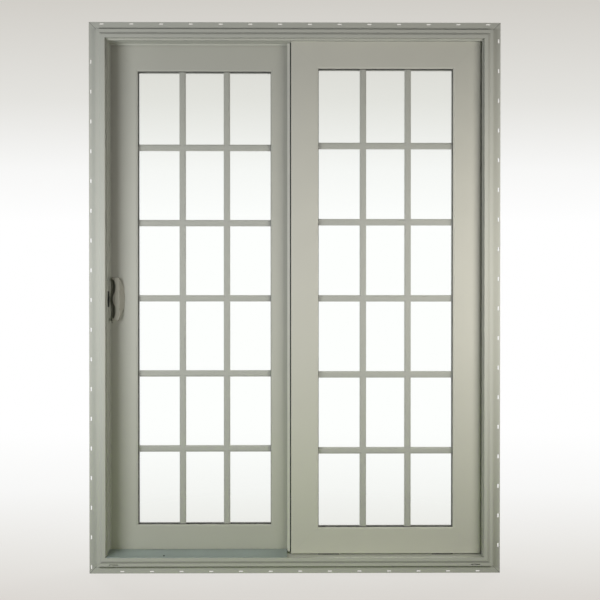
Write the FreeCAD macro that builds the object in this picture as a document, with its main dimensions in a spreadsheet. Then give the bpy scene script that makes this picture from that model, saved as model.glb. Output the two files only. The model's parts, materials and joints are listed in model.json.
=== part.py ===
import FreeCAD, Part
import os
import Sketcher
from FreeCAD import Placement, Rotation, Vector

# Glass sliding patio door, seen from outside: X to the right, +Y into the house, Z up.
# The origin is on the back face of the sill's nailing fin, at the middle of its lower edge.
# The left panel slides on the inner track, the right panel is fixed on the outer one.

DRIVING_SIZES = [
    # Frame, as a picture frame of one mitred section.
    ("frame_width", 1507.0, "frame without its nailing fins"),
    ("frame_height", 2040.0, "frame without its nailing fins"),
    ("fin_reach", 31.0, "nailing fin beyond the frame"),
    ("fin_thickness", 2.5, "nailing fin"),
    ("band_width", 12.0, "outer face band"),
    ("band_projection", 18.0, "outer face band in front of the fin's back face"),
    ("slope_width", 9.5, "slope from the outer face band to the inner one"),
    ("face_projection", 24.0, "inner face band in front of the fin's back face"),
    ("reveal_width", 34.0, "frame's outer edge to the wall of the reveal"),
    ("rib_reach", 6.0, "screen rib beyond the wall of the reveal"),
    ("rib_front", 9.0, "screen rib in front of the fin's back face"),
    ("rib_thickness", 3.0, "screen rib"),
    ("pocket_width", 24.5, "frame's outer edge to the bottom of the sliding pocket"),
    ("leg_reach", 40.0, "legs of the sliding pocket on head and jambs"),
    ("sill_leg_reach", 42.0, "legs of the sliding pocket on the sill"),
    ("leg_thickness", 3.0, "leg between the two tracks"),
    ("frame_back", 116.0, "depth of the frame behind the fin"),
    # Nailing slots.
    ("slot_length", 16.0, "nailing slot, end to end"),
    ("slot_width", 5.0, "nailing slot"),
    ("slot_edge", 7.0, "slot's middle line from the fin's edge"),
    ("slot_pitch", 113.3, "slot to slot"),
    ("slot_end_room", 20.0, "least room from a slot's middle to the end of its fin"),
    ("sill_slot_first", 124.5, "first slot of the sill from the left end of its fin"),
    ("left_slot_first", 151.0, "top slot of the left jamb from the upper end of its fin"),
    ("right_slot_first", 106.0, "bottom slot of the right jamb from the lower end of its fin"),
    # Weep slots in the sill's outer face band.
    ("weep_length", 34.0, "weep slot"),
    ("weep_height", 4.0, "weep slot"),
    ("weep_depth", 8.0, "weep slot"),
    ("weep_inset", 95.5, "middle of a weep slot from the end of the fin"),
    # Panels.
    ("panel_thickness", 36.0, "stiles and rails"),
    ("stile_width", 104.5, "stiles"),
    ("top_rail_width", 104.0, "top rails"),
    ("bottom_rail_width", 100.0, "bottom rails"),
    ("lip_thickness", 8.0, "glazing lip at the outside face"),
    ("bevel_width", 6.0, "bevel round the daylight opening"),
    ("bevel_drop", 2.0, "bevel round the daylight opening"),
    ("rebate_width", 16.0, "glazing rebate"),
    ("gasket_thickness", 1.0, "between lip and glass"),
    ("glass_bite", 12.0, "glass held inside the frame of the panel"),
    ("glass_thickness", 3.0, "each pane"),
    ("glass_gap", 13.0, "between the panes"),
    ("spacer_inset", 1.0, "spacer behind the edge of the daylight opening"),
    ("spacer_width", 9.0, "spacer bar"),
    ("bar_width", 25.0, "bars between the panes"),
    ("bar_flat", 13.0, "flat middle of a bar"),
    ("bar_thickness", 8.0, "bars between the panes"),
    ("bar_edge", 3.0, "thickness of a bar at its edges"),
    ("columns", 3, "lites across a panel"),
    ("rows", 6, "lites up a panel"),
    # Places of the panels.
    ("fixed_front", 17.0, "outside face of the fixed panel behind the fin"),
    ("fixed_jamb_gap", 7.5, "fixed panel to the wall of the right jamb"),
    ("fixed_head_gap", 0.5, "fixed panel to the head"),
    ("seat_gap", 0.5, "fixed panel to the leg behind it"),
    ("block_height", 4.0, "setting blocks under the fixed panel"),
    ("block_length", 80.0, "setting blocks"),
    ("meeting_overlap", 26.0, "meeting stiles"),
    ("running_gap", 5.0, "moving panel to the frame"),
    ("lift_gap", 9.5, "moving panel to the top of its pocket"),
    ("latch_gap", 13.0, "closed moving panel to the bottom of the left jamb's pocket"),
    ("open_gap", 9.0, "outside pull to the fixed panel's strip when the door is open"),
    # Sill.
    ("tread_thickness", 2.0, "sloped sill cover"),
    ("tread_lip", 20.0, "sill cover in front of the fin's back face"),
    ("tread_landing", 5.0, "flat back edge of the sill cover"),
    ("tread_gap", 0.5, "sill cover to its neighbours at both ends"),
    ("track_height", 8.0, "roller track above the bottom of the pocket"),
    ("track_base", 14.0, "foot of the roller track"),
    ("track_foot", 1.5, "thickness of the foot"),
    ("track_rib", 2.0, "rib that carries the wheels"),
    # Rollers.
    ("wheel_radius", 13.0, "rolling radius in the wheel's groove"),
    ("wheel_flange", 2.0, "flanges beyond the rolling radius"),
    ("wheel_width", 7.0, "wheels"),
    ("wheel_gap", 0.3, "wheel to rib"),
    ("roller_inset", 100.0, "middle of a roller from the panel's edge"),
    ("roller_length", 84.0, "roller housing"),
    ("channel_width", 16.0, "roller channel under the bottom rail"),
    ("channel_depth", 30.0, "roller channel under the bottom rail"),
    ("housing_gap", 0.3, "roller housing to its channel"),
    ("housing_wall", 2.0, "roller housing"),
    ("axle_radius", 3.0, "wheel axle"),
    # Seals.
    ("pile_width", 7.0, "brush seals"),
    ("pile_inset", 3.0, "brush seal from the edge of its leg"),
    ("pile_gap", 0.3, "brush seals to the face that they brush"),
    # Meeting stiles.
    ("interlock_reach", 15.0, "strip beside the fixed meeting stile"),
    ("interlock_front", 24.0, "strip behind the outside face of its stile"),
    ("carrier_width", 16.0, "seal carrier on the sliding meeting stile"),
    ("carrier_height", 3.0, "seal carrier on the sliding meeting stile"),
    ("carrier_inset", 3.0, "seal carrier from the edge of the stile"),
    # Outside pull.
    ("pull_height", 168.0, "outside pull"),
    ("pull_width", 46.0, "outside pull where its right side bulges most"),
    ("pull_projection", 22.0, "outside pull"),
    ("pull_front_width", 29.0, "flat front of the pull, where its slope starts"),
    ("pull_end_width", 28.0, "pull at both ends of its right side"),
    ("pull_corner", 8.0, "corners of the pull"),
    ("pull_edge", 8.0, "flat side of the pull from the panel's edge"),
    ("pull_wall", 2.5, "outside pull"),
    ("pull_centre", 1048.0, "middle of the pull above the origin"),
    ("wave_middle", 9.5, "middle line of the wavy lip from the pull's flat side"),
    ("wave_depth", 6.0, "wave to either side of its middle line"),
    ("wave_quarter", 23.0, "quarter of the wave's length"),
    ("mouth_corner", 5.0, "corners of the finger opening"),
    ("mouth_depth", 13.0, "finger opening into the pull's flat side"),
    # Inside pull and latch.
    ("plate_end", 40.0, "inside escutcheon beyond each end of the grip"),
    ("plate_width", 40.0, "inside escutcheon"),
    ("plate_thickness", 5.0, "inside escutcheon"),
    ("grip_height", 170.0, "inside grip"),
    ("grip_width", 16.0, "inside grip"),
    ("grip_projection", 42.0, "inside grip from its plate"),
    ("grip_thickness", 14.0, "inside grip"),
    ("grip_bend", 26.0, "outer radius of the grip's bends"),
    ("latch_length", 22.0, "thumb latch"),
    ("latch_width", 12.0, "thumb latch"),
    ("latch_projection", 14.0, "thumb latch"),
    # Lock.
    ("lock_height", 140.0, "lock face on the edge of the left stile"),
    ("lock_width", 20.0, "lock face"),
    ("lock_thickness", 2.0, "lock face"),
    ("keeper_height", 110.0, "keeper in the jamb's pocket"),
    ("keeper_width", 24.0, "keeper"),
    ("keeper_thickness", 4.0, "keeper"),
    ("keeper_mouth", 60.0, "hook opening of the keeper"),
    ("keeper_slot", 10.0, "width of the hook opening"),
    ("strike_height", 60.0, "screen strike on the wall of the left reveal"),
    ("strike_width", 32.0, "screen strike"),
    ("strike_thickness", 3.0, "screen strike"),
    ("strike_front", 4.0, "screen strike behind the fin"),
    # Bumper that stops the panel when open.
    ("bumper_length", 40.0, "bumper"),
    ("bumper_height", 16.0, "bumper"),
    ("bumper_width", 24.0, "bumper"),
]

# What the driving sizes lead to, as formulas of a second sheet.
LAYOUT = [
    ("overall_width", "Sizes.frame_width + 2 * Sizes.fin_reach"),
    ("overall_height", "Sizes.frame_height + 2 * Sizes.fin_reach"),
    ("half_frame", "Sizes.frame_width / 2"),
    ("frame_bottom", "Sizes.fin_reach"),
    ("frame_top", "Sizes.fin_reach + Sizes.frame_height"),
    ("leg_front", "Sizes.fixed_front + Sizes.panel_thickness + Sizes.seat_gap"),
    ("leg_back", "leg_front + Sizes.leg_thickness"),
    ("sliding_front", "leg_back + Sizes.running_gap"),
    ("sliding_back", "sliding_front + Sizes.panel_thickness"),
    ("inner_leg_front", "sliding_back + Sizes.running_gap"),
    ("reveal_left", "Sizes.reveal_width - half_frame"),
    ("pocket_left", "Sizes.pocket_width - half_frame"),
    ("reveal_floor", "frame_bottom + Sizes.reveal_width"),
    ("pocket_floor", "frame_bottom + Sizes.pocket_width"),
    ("pocket_ceiling", "frame_top - Sizes.pocket_width"),
    ("sill_leg_top", "frame_bottom + Sizes.sill_leg_reach"),
    ("head_leg_bottom", "frame_top - Sizes.leg_reach"),
    ("jamb_leg_edge", "Sizes.leg_reach - half_frame"),
    ("fixed_right", "half_frame - Sizes.reveal_width - Sizes.fixed_jamb_gap"),
    ("sliding_left", "pocket_left + Sizes.latch_gap"),
    ("panel_width", "(fixed_right - sliding_left + Sizes.meeting_overlap) / 2"),
    ("fixed_left", "fixed_right - panel_width"),
    ("fixed_bottom", "reveal_floor + Sizes.block_height"),
    ("fixed_top", "frame_top - Sizes.reveal_width - Sizes.fixed_head_gap"),
    ("fixed_back", "Sizes.fixed_front + Sizes.panel_thickness"),
    ("sliding_right", "sliding_left + panel_width"),
    ("track_top", "pocket_floor + Sizes.track_height"),
    ("sliding_bottom", "track_top + Sizes.running_gap"),
    ("sliding_top", "pocket_ceiling - Sizes.lift_gap"),
    ("sliding_middle", "(sliding_front + sliding_back) / 2"),
    ("glass_front", "Sizes.lip_thickness + Sizes.gasket_thickness"),
    ("glass_back", "glass_front + 2 * Sizes.glass_thickness + Sizes.glass_gap"),
    ("wheel_axis", "track_top + Sizes.wheel_gap + Sizes.wheel_radius"),
    ("interlock_left", "fixed_left - Sizes.interlock_reach"),
    ("pull_left", "sliding_left + Sizes.pull_edge"),
    ("panel_travel", "interlock_left - Sizes.open_gap - pull_left - Sizes.pull_width"),
    ("inside_pull_middle", "jamb_leg_edge + Sizes.running_gap + Sizes.plate_width / 2"),
]

doc = FreeCAD.newDocument("sliding_patio_door")


def fill_sheet(name, rows):
    """Makes a sheet of one value a row, each under its alias."""
    sheet = doc.addObject("Spreadsheet::Sheet", name)
    for row, (alias, content, *note) in enumerate(rows, start=1):
        sheet.set(f"A{row}", alias)
        sheet.set(f"B{row}", content if isinstance(content, str) else str(content))
        sheet.setAlias(f"B{row}", alias)
        sheet.set(f"C{row}", note[0] if note else "")
    doc.recompute()
    return sheet


sizes = fill_sheet("Sizes", DRIVING_SIZES)
layout = fill_sheet("Layout", [(alias, f"={formula}") for alias, formula in LAYOUT])
parts = []


def value(formula):
    """Number that a formula of the two sheets has now."""
    return float(layout.evalExpression(str(formula)))


def bind(thing, **formulas):
    """Ties properties of an object to formulas of the sheets."""
    for prop, formula in formulas.items():
        thing.setExpression(prop, formula)


def place(thing, x="0", y="0", z="0", turn=0.0, about=Vector(0, 1, 0)):
    """Puts an object at a place given by formulas, turned about one of its axes."""
    thing.Placement = Placement(Vector(), Rotation(about, turn))
    for axis, formula in (("x", x), ("y", y), ("z", z)):
        if formula != "0":
            thing.setExpression(f"Placement.Base.{axis}", formula)


def new_body(label):
    """Starts a sub-part whose label is also its file's name."""
    body = doc.addObject("PartDesign::Body", "Body_" + label)
    body.Label = label
    parts.append(body)
    return body


def new_sketch(body, role):
    """Starts a sketch on one of the body's own origin planes."""
    sketch = body.newObject("Sketcher::SketchObject", f"{body.Label}_sketch")
    plane = next(feature for feature in body.Origin.OriginFeatures if feature.Role == role)
    sketch.AttachmentSupport = [(plane, "")]
    sketch.MapMode = "FlatFace"
    return sketch


def fix_point(sketch, geometry, end, x, y):
    """Dimensions one point of a sketch from the sketch's origin."""
    for kind, formula in (("DistanceX", x), ("DistanceY", y)):
        number = sketch.addConstraint(Sketcher.Constraint(kind, -1, 1, geometry, end, value(formula)))
        sketch.setExpression(f"Constraints[{number}]", formula)


def outline(sketch, corners):
    """Adds a closed outline through corners given by formulas.

    A corner is (x, y), or (x, y, through_x, through_y) where an arc leads from it to the next one.
    """
    first = sketch.GeometryCount
    count = len(corners)
    spots = [Vector(value(corner[0]), value(corner[1]), 0) for corner in corners]
    # Sketched arcs run anticlockwise, so a clockwise one starts where its stretch ends.
    ends = []
    arcs = []
    for index, corner in enumerate(corners):
        here = spots[index]
        after = spots[(index + 1) % count]
        ends.append((1, 2))
        if len(corner) == 2:
            sketch.addGeometry(Part.LineSegment(here, after), False)
            continue
        middle = Vector(value(corner[2]), value(corner[3]), 0)
        arcs.append((index, corner[2], corner[3]))
        if (middle - here).cross(after - middle).z > 0:
            sketch.addGeometry(Part.Arc(here, middle, after), False)
        else:
            sketch.addGeometry(Part.Arc(after, middle, here), False)
            ends[index] = (2, 1)
    for index in range(count):
        follower = (index + 1) % count
        sketch.addConstraint(Sketcher.Constraint(
            "Coincident", first + index, ends[index][1], first + follower, ends[follower][0]))
    for index, corner in enumerate(corners):
        fix_point(sketch, first + index, ends[index][0], corner[0], corner[1])
    for index, x, y in arcs:
        mark = sketch.addGeometry(Part.Point(Vector(value(x), value(y), 0)), True)
        fix_point(sketch, mark, 1, x, y)
        sketch.addConstraint(Sketcher.Constraint("PointOnObject", mark, 1, first + index))


def rectangle(sketch, left, right, low, high):
    """Adds an upright rectangle."""
    outline(sketch, [(left, low), (right, low), (right, high), (left, high)])


def slot_outline(sketch, x, y, length, width):
    """Adds a slot with round ends that runs along the sketch's horizontal axis."""
    first = sketch.GeometryCount
    radius = value(width) / 2
    half_run = value(length) / 2 - radius
    middle = Vector(value(x), value(y), 0)
    left = middle - Vector(half_run, 0, 0)
    right = middle + Vector(half_run, 0, 0)
    up = Vector(0, radius, 0)
    across = Vector(radius, 0, 0)
    sketch.addGeometry(Part.LineSegment(left - up, right - up), False)
    sketch.addGeometry(Part.Arc(right - up, right + across, right + up), False)
    sketch.addGeometry(Part.LineSegment(right + up, left + up), False)
    sketch.addGeometry(Part.Arc(left + up, left - across, left - up), False)
    right_arc = first + 1
    left_arc = first + 3
    sketch.addConstraint(Sketcher.Constraint("Tangent", first, 2, right_arc, 1))
    sketch.addConstraint(Sketcher.Constraint("Tangent", right_arc, 2, first + 2, 1))
    sketch.addConstraint(Sketcher.Constraint("Tangent", first + 2, 2, left_arc, 1))
    sketch.addConstraint(Sketcher.Constraint("Tangent", left_arc, 2, first, 1))
    sketch.addConstraint(Sketcher.Constraint("Equal", right_arc, left_arc))
    size = sketch.addConstraint(Sketcher.Constraint("Radius", right_arc, radius))
    sketch.setExpression(f"Constraints[{size}]", f"{width} / 2")
    fix_point(sketch, right_arc, 3, f"{x} + ({length} - {width}) / 2", y)
    fix_point(sketch, left_arc, 3, f"{x} - ({length} - {width}) / 2", y)


def pad(body, sketch, length, symmetric=False):
    """Adds material along the sketch's normal."""
    feature = body.newObject("PartDesign::Pad", f"{body.Label}_pad")
    feature.Profile = sketch
    feature.SideType = "Symmetric" if symmetric else "One side"
    bind(feature, Length=length)
    return feature


def cut_through(body, sketch):
    """Cuts a sketch's outlines right through the body, both ways."""
    feature = body.newObject("PartDesign::Pocket", f"{body.Label}_cut")
    feature.Profile = sketch
    feature.SideType = "Symmetric"
    feature.Type = "ThroughAll"
    return feature


def repeat(body, feature, sketch, axis, length, count):
    """Repeats a feature in a row along one of its sketch's axes."""
    row = body.newObject("PartDesign::LinearPattern", f"{body.Label}_row")
    row.Originals = [feature]
    row.Direction = (sketch, [axis])
    bind(row, Length=length, Occurrences=count)
    body.Tip = row
    return row


def box(label, corner, size):
    """Makes a rectangular block from formulas of its low corner and its size."""
    block = doc.addObject("Part::Box", "Box_" + label)
    block.Label = label
    bind(block, Length=size[0], Width=size[1], Height=size[2])
    place(block, *corner)
    return block


def fuse(label, shapes):
    """Joins shapes into one sub-part, or gathers those that don't touch."""
    joined = doc.addObject("Part::MultiFuse", "Fuse_" + label)
    joined.Shapes = shapes
    joined.Label = label
    return joined


def sub_part(thing):
    """Lists an object made of primitives among the sub-parts."""
    parts.append(thing)
    return thing


def mitred_member(label, section, length, reach, where, turn):
    """Extrudes a section along X and cuts both ends at 45 degrees.

    The section lies in depth and inward distance, from the outermost corner.
    """
    body = new_body(label)
    profile = new_sketch(body, "YZ_Plane")
    outline(profile, section)
    pad(body, profile, length)
    mitres = new_sketch(body, "XZ_Plane")
    outline(mitres, [("0", "0"), (reach, reach), ("0", reach)])
    outline(mitres, [(length, "0"), (length, reach), (f"{length} - {reach}", reach)])
    cut_through(body, mitres)
    place(body, *where, turn=turn)
    return body


def frame_section(leg_reach, ribbed=True):
    """Stepped section of the frame: fin, face bands, reveal with its screen rib and sliding pocket."""
    fin = "Sizes.fin_reach"
    band = f"{fin} + Sizes.band_width"
    slope = f"{band} + Sizes.slope_width"
    reveal = f"{fin} + Sizes.reveal_width"
    pocket = f"{fin} + Sizes.pocket_width"
    leg = f"{fin} + {leg_reach}"
    rib_edge = f"{reveal} + Sizes.rib_reach"
    rib_back = "Sizes.rib_thickness - Sizes.rib_front"
    rib = [(rib_back, reveal), (rib_back, rib_edge), ("-Sizes.rib_front", rib_edge), ("-Sizes.rib_front", reveal)]
    return [
        ("0", "0"),
        ("0", fin),
        ("Sizes.frame_back", fin),
        ("Sizes.frame_back", leg),
        ("Layout.inner_leg_front", leg),
        ("Layout.inner_leg_front", pocket),
        ("Layout.leg_back", pocket),
        ("Layout.leg_back", leg),
        ("Layout.leg_front", leg),
        ("Layout.leg_front", reveal),
        *(rib if ribbed else []),
        ("-Sizes.face_projection", reveal),
        ("-Sizes.face_projection", slope),
        ("-Sizes.band_projection", band),
        ("-Sizes.band_projection", fin),
        ("-Sizes.fin_thickness", fin),
        ("-Sizes.fin_thickness", "0"),
    ]


def nailing_slots(body, length, first):
    """Cuts as many nailing slots into a member's fin as its length has room for."""
    sketch = new_sketch(body, "XZ_Plane")
    slot_outline(sketch, first, "Sizes.slot_edge", "Sizes.slot_length", "Sizes.slot_width")
    slot = cut_through(body, sketch)
    steps = f"floor(({length} - {first} - Sizes.slot_end_room) / Sizes.slot_pitch)"
    repeat(body, slot, sketch, "H_Axis", f"{steps} * Sizes.slot_pitch", f"{steps} + 1")


def weep_slots(sill, length):
    """Cuts a weep slot into the sill's outer face band near each end."""
    sketch = new_sketch(sill, "XZ_Plane")
    sketch.setExpression("AttachmentOffset.Base.z", "Sizes.band_projection")
    middle = "(Sizes.fin_reach + Sizes.band_width / 2)"
    for centre in ("Sizes.weep_inset", f"({length} - Sizes.weep_inset)"):
        rectangle(
            sketch, f"{centre} - Sizes.weep_length / 2", f"{centre} + Sizes.weep_length / 2",
            f"{middle} - Sizes.weep_height / 2", f"{middle} + Sizes.weep_height / 2",
        )
    weep = sill.newObject("PartDesign::Pocket", "sill_weeps")
    weep.Profile = sketch
    bind(weep, Length="Sizes.weep_depth")


def build_frame():
    """Builds the four mitred members with their slots."""
    leg = "Sizes.leg_reach"
    sill_leg = "Sizes.sill_leg_reach"
    wide = "Layout.overall_width"
    high = "Layout.overall_height"
    half = "Layout.overall_width / 2"
    reach = "(Sizes.fin_reach + Sizes.sill_leg_reach)"
    head = mitred_member("head_jamb", frame_section(leg), wide, reach, (half, "0", high), 180)
    section = frame_section(sill_leg, ribbed=False)
    sill = mitred_member("sill", section, wide, reach, (f"-{half}", "0", "0"), 0)
    left = mitred_member("left_jamb", frame_section(leg), high, reach, (f"-{half}", "0", high), 90)
    right = mitred_member("right_jamb", frame_section(leg), high, reach, (half, "0", "0"), -90)
    # The head's row is centred.
    head_steps = f"floor(({wide} - 2 * Sizes.slot_end_room) / Sizes.slot_pitch)"
    nailing_slots(head, wide, f"({wide} - {head_steps} * Sizes.slot_pitch) / 2")
    weep_slots(sill, wide)
    nailing_slots(sill, wide, "Sizes.sill_slot_first")
    nailing_slots(left, high, "Sizes.left_slot_first")
    nailing_slots(right, high, "Sizes.right_slot_first")


def build_sill_fittings():
    """Builds the sloped cover, the roller track and the setting blocks."""
    floor = "Layout.reveal_floor"
    leg_top = "Layout.sill_leg_top"
    front = "-Sizes.tread_lip"
    landing = "(Layout.leg_front - Sizes.tread_landing)"
    thick = "Sizes.tread_thickness"
    tread = new_body("sill_tread")
    section = new_sketch(tread, "YZ_Plane")
    outline(section, [
        (front, floor),
        ("Sizes.tread_landing", floor),
        (landing, leg_top),
        ("Layout.leg_back", leg_top),
        ("Layout.leg_back", f"{leg_top} + {thick}"),
        (landing, f"{leg_top} + {thick}"),
        (front, f"{floor} + {thick}"),
    ])
    pad(tread, section, "Layout.interlock_left - Layout.reveal_left - 2 * Sizes.tread_gap")
    # Notches let the cover pass the left jamb's leg and its screen rib.
    notches = new_sketch(tread, "XY_Plane")
    rectangle(
        notches, "0", "Layout.jamb_leg_edge - Layout.reveal_left",
        "Layout.leg_front - Sizes.tread_gap", "Layout.leg_back",
    )
    rectangle(
        notches, "0", "Sizes.rib_reach", "-Sizes.rib_front - Sizes.tread_gap",
        "Sizes.rib_thickness - Sizes.rib_front + Sizes.tread_gap",
    )
    cut_through(tread, notches)
    place(tread, x="Layout.reveal_left + Sizes.tread_gap")

    track = new_body("roller_track")
    section = new_sketch(track, "YZ_Plane")
    middle = "Layout.sliding_middle"
    pocket = "Layout.pocket_floor"
    outline(section, [
        (f"{middle} - Sizes.track_base / 2", pocket),
        (f"{middle} + Sizes.track_base / 2", pocket),
        (f"{middle} + Sizes.track_base / 2", f"{pocket} + Sizes.track_foot"),
        (f"{middle} + Sizes.track_rib / 2", f"{pocket} + Sizes.track_foot"),
        (f"{middle} + Sizes.track_rib / 2", "Layout.track_top"),
        (f"{middle} - Sizes.track_rib / 2", "Layout.track_top"),
        (f"{middle} - Sizes.track_rib / 2", f"{pocket} + Sizes.track_foot"),
        (f"{middle} - Sizes.track_base / 2", f"{pocket} + Sizes.track_foot"),
    ])
    pad(track, section, "-2 * Layout.pocket_left")
    place(track, x="Layout.pocket_left")

    blocks = []
    for name, left in (
        ("left_block", "Layout.fixed_left + Sizes.stile_width"),
        ("right_block", "Layout.fixed_right - Sizes.stile_width - Sizes.block_length"),
    ):
        corner = (left, "Sizes.fixed_front", "Layout.reveal_floor")
        size = ("Sizes.block_length", "Sizes.panel_thickness", "Sizes.block_height")
        blocks.append(box(name, corner, size))
    sub_part(fuse("setting_blocks", blocks))

    corner = ("Layout.fixed_right", "Sizes.fixed_front + Sizes.lip_thickness", "Layout.fixed_bottom")
    size = (
        "Sizes.fixed_jamb_gap",
        "Sizes.panel_thickness - Sizes.lip_thickness",
        "Layout.fixed_top - Layout.fixed_bottom",
    )
    sub_part(box("jamb_adapter", corner, size))


def panel_section(width, channel=False):
    """Section of a stile or rail: lip at the outside, rebate open to the inside."""
    rebate = f"{width} - Sizes.rebate_width"
    points = [
        ("0", "0"),
        ("0", f"{width} - Sizes.bevel_width"),
        ("Sizes.bevel_drop", width),
        ("Sizes.lip_thickness", width),
        ("Sizes.lip_thickness", rebate),
        ("Sizes.panel_thickness", rebate),
        ("Sizes.panel_thickness", "0"),
    ]
    if channel:
        far = "(Sizes.panel_thickness + Sizes.channel_width) / 2"
        near = "(Sizes.panel_thickness - Sizes.channel_width) / 2"
        points += [(far, "0"), (far, "Sizes.channel_depth"), (near, "Sizes.channel_depth"), (near, "0")]
    return points


def ring(label, left, right, low, high, inner, front, depth):
    """Makes a rectangular ring; inner is how far its hole lies inside its outer edge."""
    body = new_body(label)
    sketch = new_sketch(body, "XZ_Plane")
    rectangle(sketch, left, right, low, high)
    rectangle(sketch, f"{left} + {inner}", f"{right} - {inner}", f"{low} + {inner}", f"{high} - {inner}")
    feature = pad(body, sketch, depth)
    feature.Reversed = True
    place(body, y=front)
    return body


def build_panel(name, front):
    """Builds one glazed panel: members, glass unit with its bars, gasket and beads."""
    left = f"Layout.{name}_left"
    right = f"Layout.{name}_right"
    low = f"Layout.{name}_bottom"
    high = f"Layout.{name}_top"
    wide = "Layout.panel_width"
    tall = f"({high} - {low})"
    stile = "Sizes.stile_width"
    top_rail = "Sizes.top_rail_width"
    bottom_rail = "Sizes.bottom_rail_width"

    def member(label, section, length, where, turn, width_here, width_next):
        """Extrudes a member whose mitres run to the corners of the daylight opening."""
        body = new_body(f"{name}_{label}")
        profile = new_sketch(body, "YZ_Plane")
        outline(profile, section)
        pad(body, profile, length)
        mitres = new_sketch(body, "XZ_Plane")
        start, end = width_next
        outline(mitres, [("0", "0"), (start, width_here), ("0", width_here)])
        outline(mitres, [(length, "0"), (length, width_here), (f"{length} - {end}", width_here)])
        cut_through(body, mitres)
        place(body, *where, turn=turn)

    channel = name == "sliding"
    member("bottom_rail", panel_section(bottom_rail, channel), wide,
           (left, front, low), 0, bottom_rail, (stile, stile))
    member("top_rail", panel_section(top_rail), wide,
           (right, front, high), 180, top_rail, (stile, stile))
    member("left_stile", panel_section(stile), tall,
           (left, front, high), 90, stile, (top_rail, bottom_rail))
    member("right_stile", panel_section(stile), tall,
           (right, front, low), -90, stile, (bottom_rail, top_rail))

    # The daylight opening, and the glass that reaches into the rebate round it.
    day = (
        f"({left} + {stile})", f"({right} - {stile})",
        f"({low} + {bottom_rail})", f"({high} - {top_rail})",
    )
    bite = "Sizes.glass_bite"
    pane = (f"({day[0]} - {bite})", f"({day[1]} + {bite})", f"({day[2]} - {bite})", f"({day[3]} + {bite})")
    pane_size = (f"{pane[1]} - {pane[0]}", "Sizes.glass_thickness", f"{pane[3]} - {pane[2]}")
    outer_face = f"{front} + Layout.glass_front"
    gap_face = f"{outer_face} + Sizes.glass_thickness"
    inner_face = f"{gap_face} + Sizes.glass_gap"
    sub_part(box(f"{name}_outer_glass", (pane[0], outer_face, pane[2]), pane_size))
    sub_part(box(f"{name}_inner_glass", (pane[0], inner_face, pane[2]), pane_size))
    ring(f"{name}_glazing_gasket", *pane, bite, f"{front} + Sizes.lip_thickness", "Sizes.gasket_thickness")
    spacer_edge = f"({bite} - Sizes.spacer_inset)"
    spacer_outer = f"({spacer_edge} - Sizes.spacer_width)"
    spacer = (
        f"{pane[0]} + {spacer_outer}", f"{pane[1]} - {spacer_outer}",
        f"{pane[2]} + {spacer_outer}", f"{pane[3]} - {spacer_outer}",
    )
    ring(f"{name}_glass_spacer", *spacer, "Sizes.spacer_width", gap_face, "Sizes.glass_gap")
    rebate = "Sizes.rebate_width"
    bead = (f"{day[0]} - {rebate}", f"{day[1]} + {rebate}", f"{day[2]} - {rebate}", f"{day[3]} + {rebate}")
    bead_front = f"{front} + Layout.glass_back"
    ring(f"{name}_glazing_beads", *bead, rebate, bead_front, "Sizes.panel_thickness - Layout.glass_back")
    build_grille(f"{name}_grille", day, f"{gap_face} + Sizes.glass_gap / 2")


def bar_section():
    """Section of a bar: flat in the middle and sloped to thin edges."""
    half = "Sizes.bar_width / 2"
    flat = "Sizes.bar_flat / 2"
    thick = "Sizes.bar_thickness / 2"
    edge = "Sizes.bar_edge / 2"
    return [
        (f"-{half}", f"-{edge}"), (f"-{flat}", f"-{thick}"), (flat, f"-{thick}"), (half, f"-{edge}"),
        (half, edge), (flat, thick), (f"-{flat}", thick), (f"-{half}", edge),
    ]


def build_grille(label, day, middle):
    """Builds the lattice of contoured bars between the panes of one panel."""
    body = new_body(label)
    inset = "Sizes.spacer_inset"
    wide = f"({day[1]} - {day[0]})"
    tall = f"({day[3]} - {day[2]})"
    column = f"{wide} / Sizes.columns"
    row = f"{tall} / Sizes.rows"
    upright = new_sketch(body, "XY_Plane")
    outline(upright, [(f"{column} + {x}", y) for x, y in bar_section()])
    upright.setExpression("AttachmentOffset.Base.z", f"-{inset}")
    first = pad(body, upright, f"{tall} + 2 * {inset}")
    repeat(body, first, upright, "H_Axis", f"(Sizes.columns - 2) * {column}", "Sizes.columns - 1")
    level = new_sketch(body, "YZ_Plane")
    outline(level, [(y, f"{row} + {x}") for x, y in bar_section()])
    level.setExpression("AttachmentOffset.Base.z", f"-{inset}")
    first = pad(body, level, f"{wide} + 2 * {inset}")
    repeat(body, first, level, "V_Axis", f"(Sizes.rows - 2) * {row}", "Sizes.rows - 1")
    place(body, day[0], middle, day[2])


def build_meeting_stiles():
    """Builds the strip beside the fixed stile and the seal carrier on the sliding one."""
    corner = ("Layout.interlock_left", "Sizes.fixed_front + Sizes.interlock_front", "Layout.fixed_bottom")
    size = (
        "Sizes.interlock_reach",
        "Sizes.panel_thickness - Sizes.interlock_front",
        "Layout.fixed_top - Layout.fixed_bottom",
    )
    sub_part(box("fixed_interlock", corner, size))
    edge = "Layout.sliding_right - Sizes.carrier_inset - Sizes.carrier_width"
    low = "Layout.sill_leg_top + Sizes.running_gap"
    tall = "Layout.head_leg_bottom - Layout.sill_leg_top - 2 * Sizes.running_gap"
    corner = (edge, "Layout.sliding_front - Sizes.carrier_height", low)
    sub_part(box("sliding_interlock", corner, ("Sizes.carrier_width", "Sizes.carrier_height", tall)))
    middle = f"{edge} + (Sizes.carrier_width - Sizes.pile_width) / 2"
    depth = "Layout.sliding_front - Sizes.carrier_height - Layout.fixed_back - Sizes.pile_gap"
    corner = (middle, "Layout.fixed_back + Sizes.pile_gap", low)
    sub_part(box("meeting_seal", corner, ("Sizes.pile_width", depth, tall)))


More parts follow.
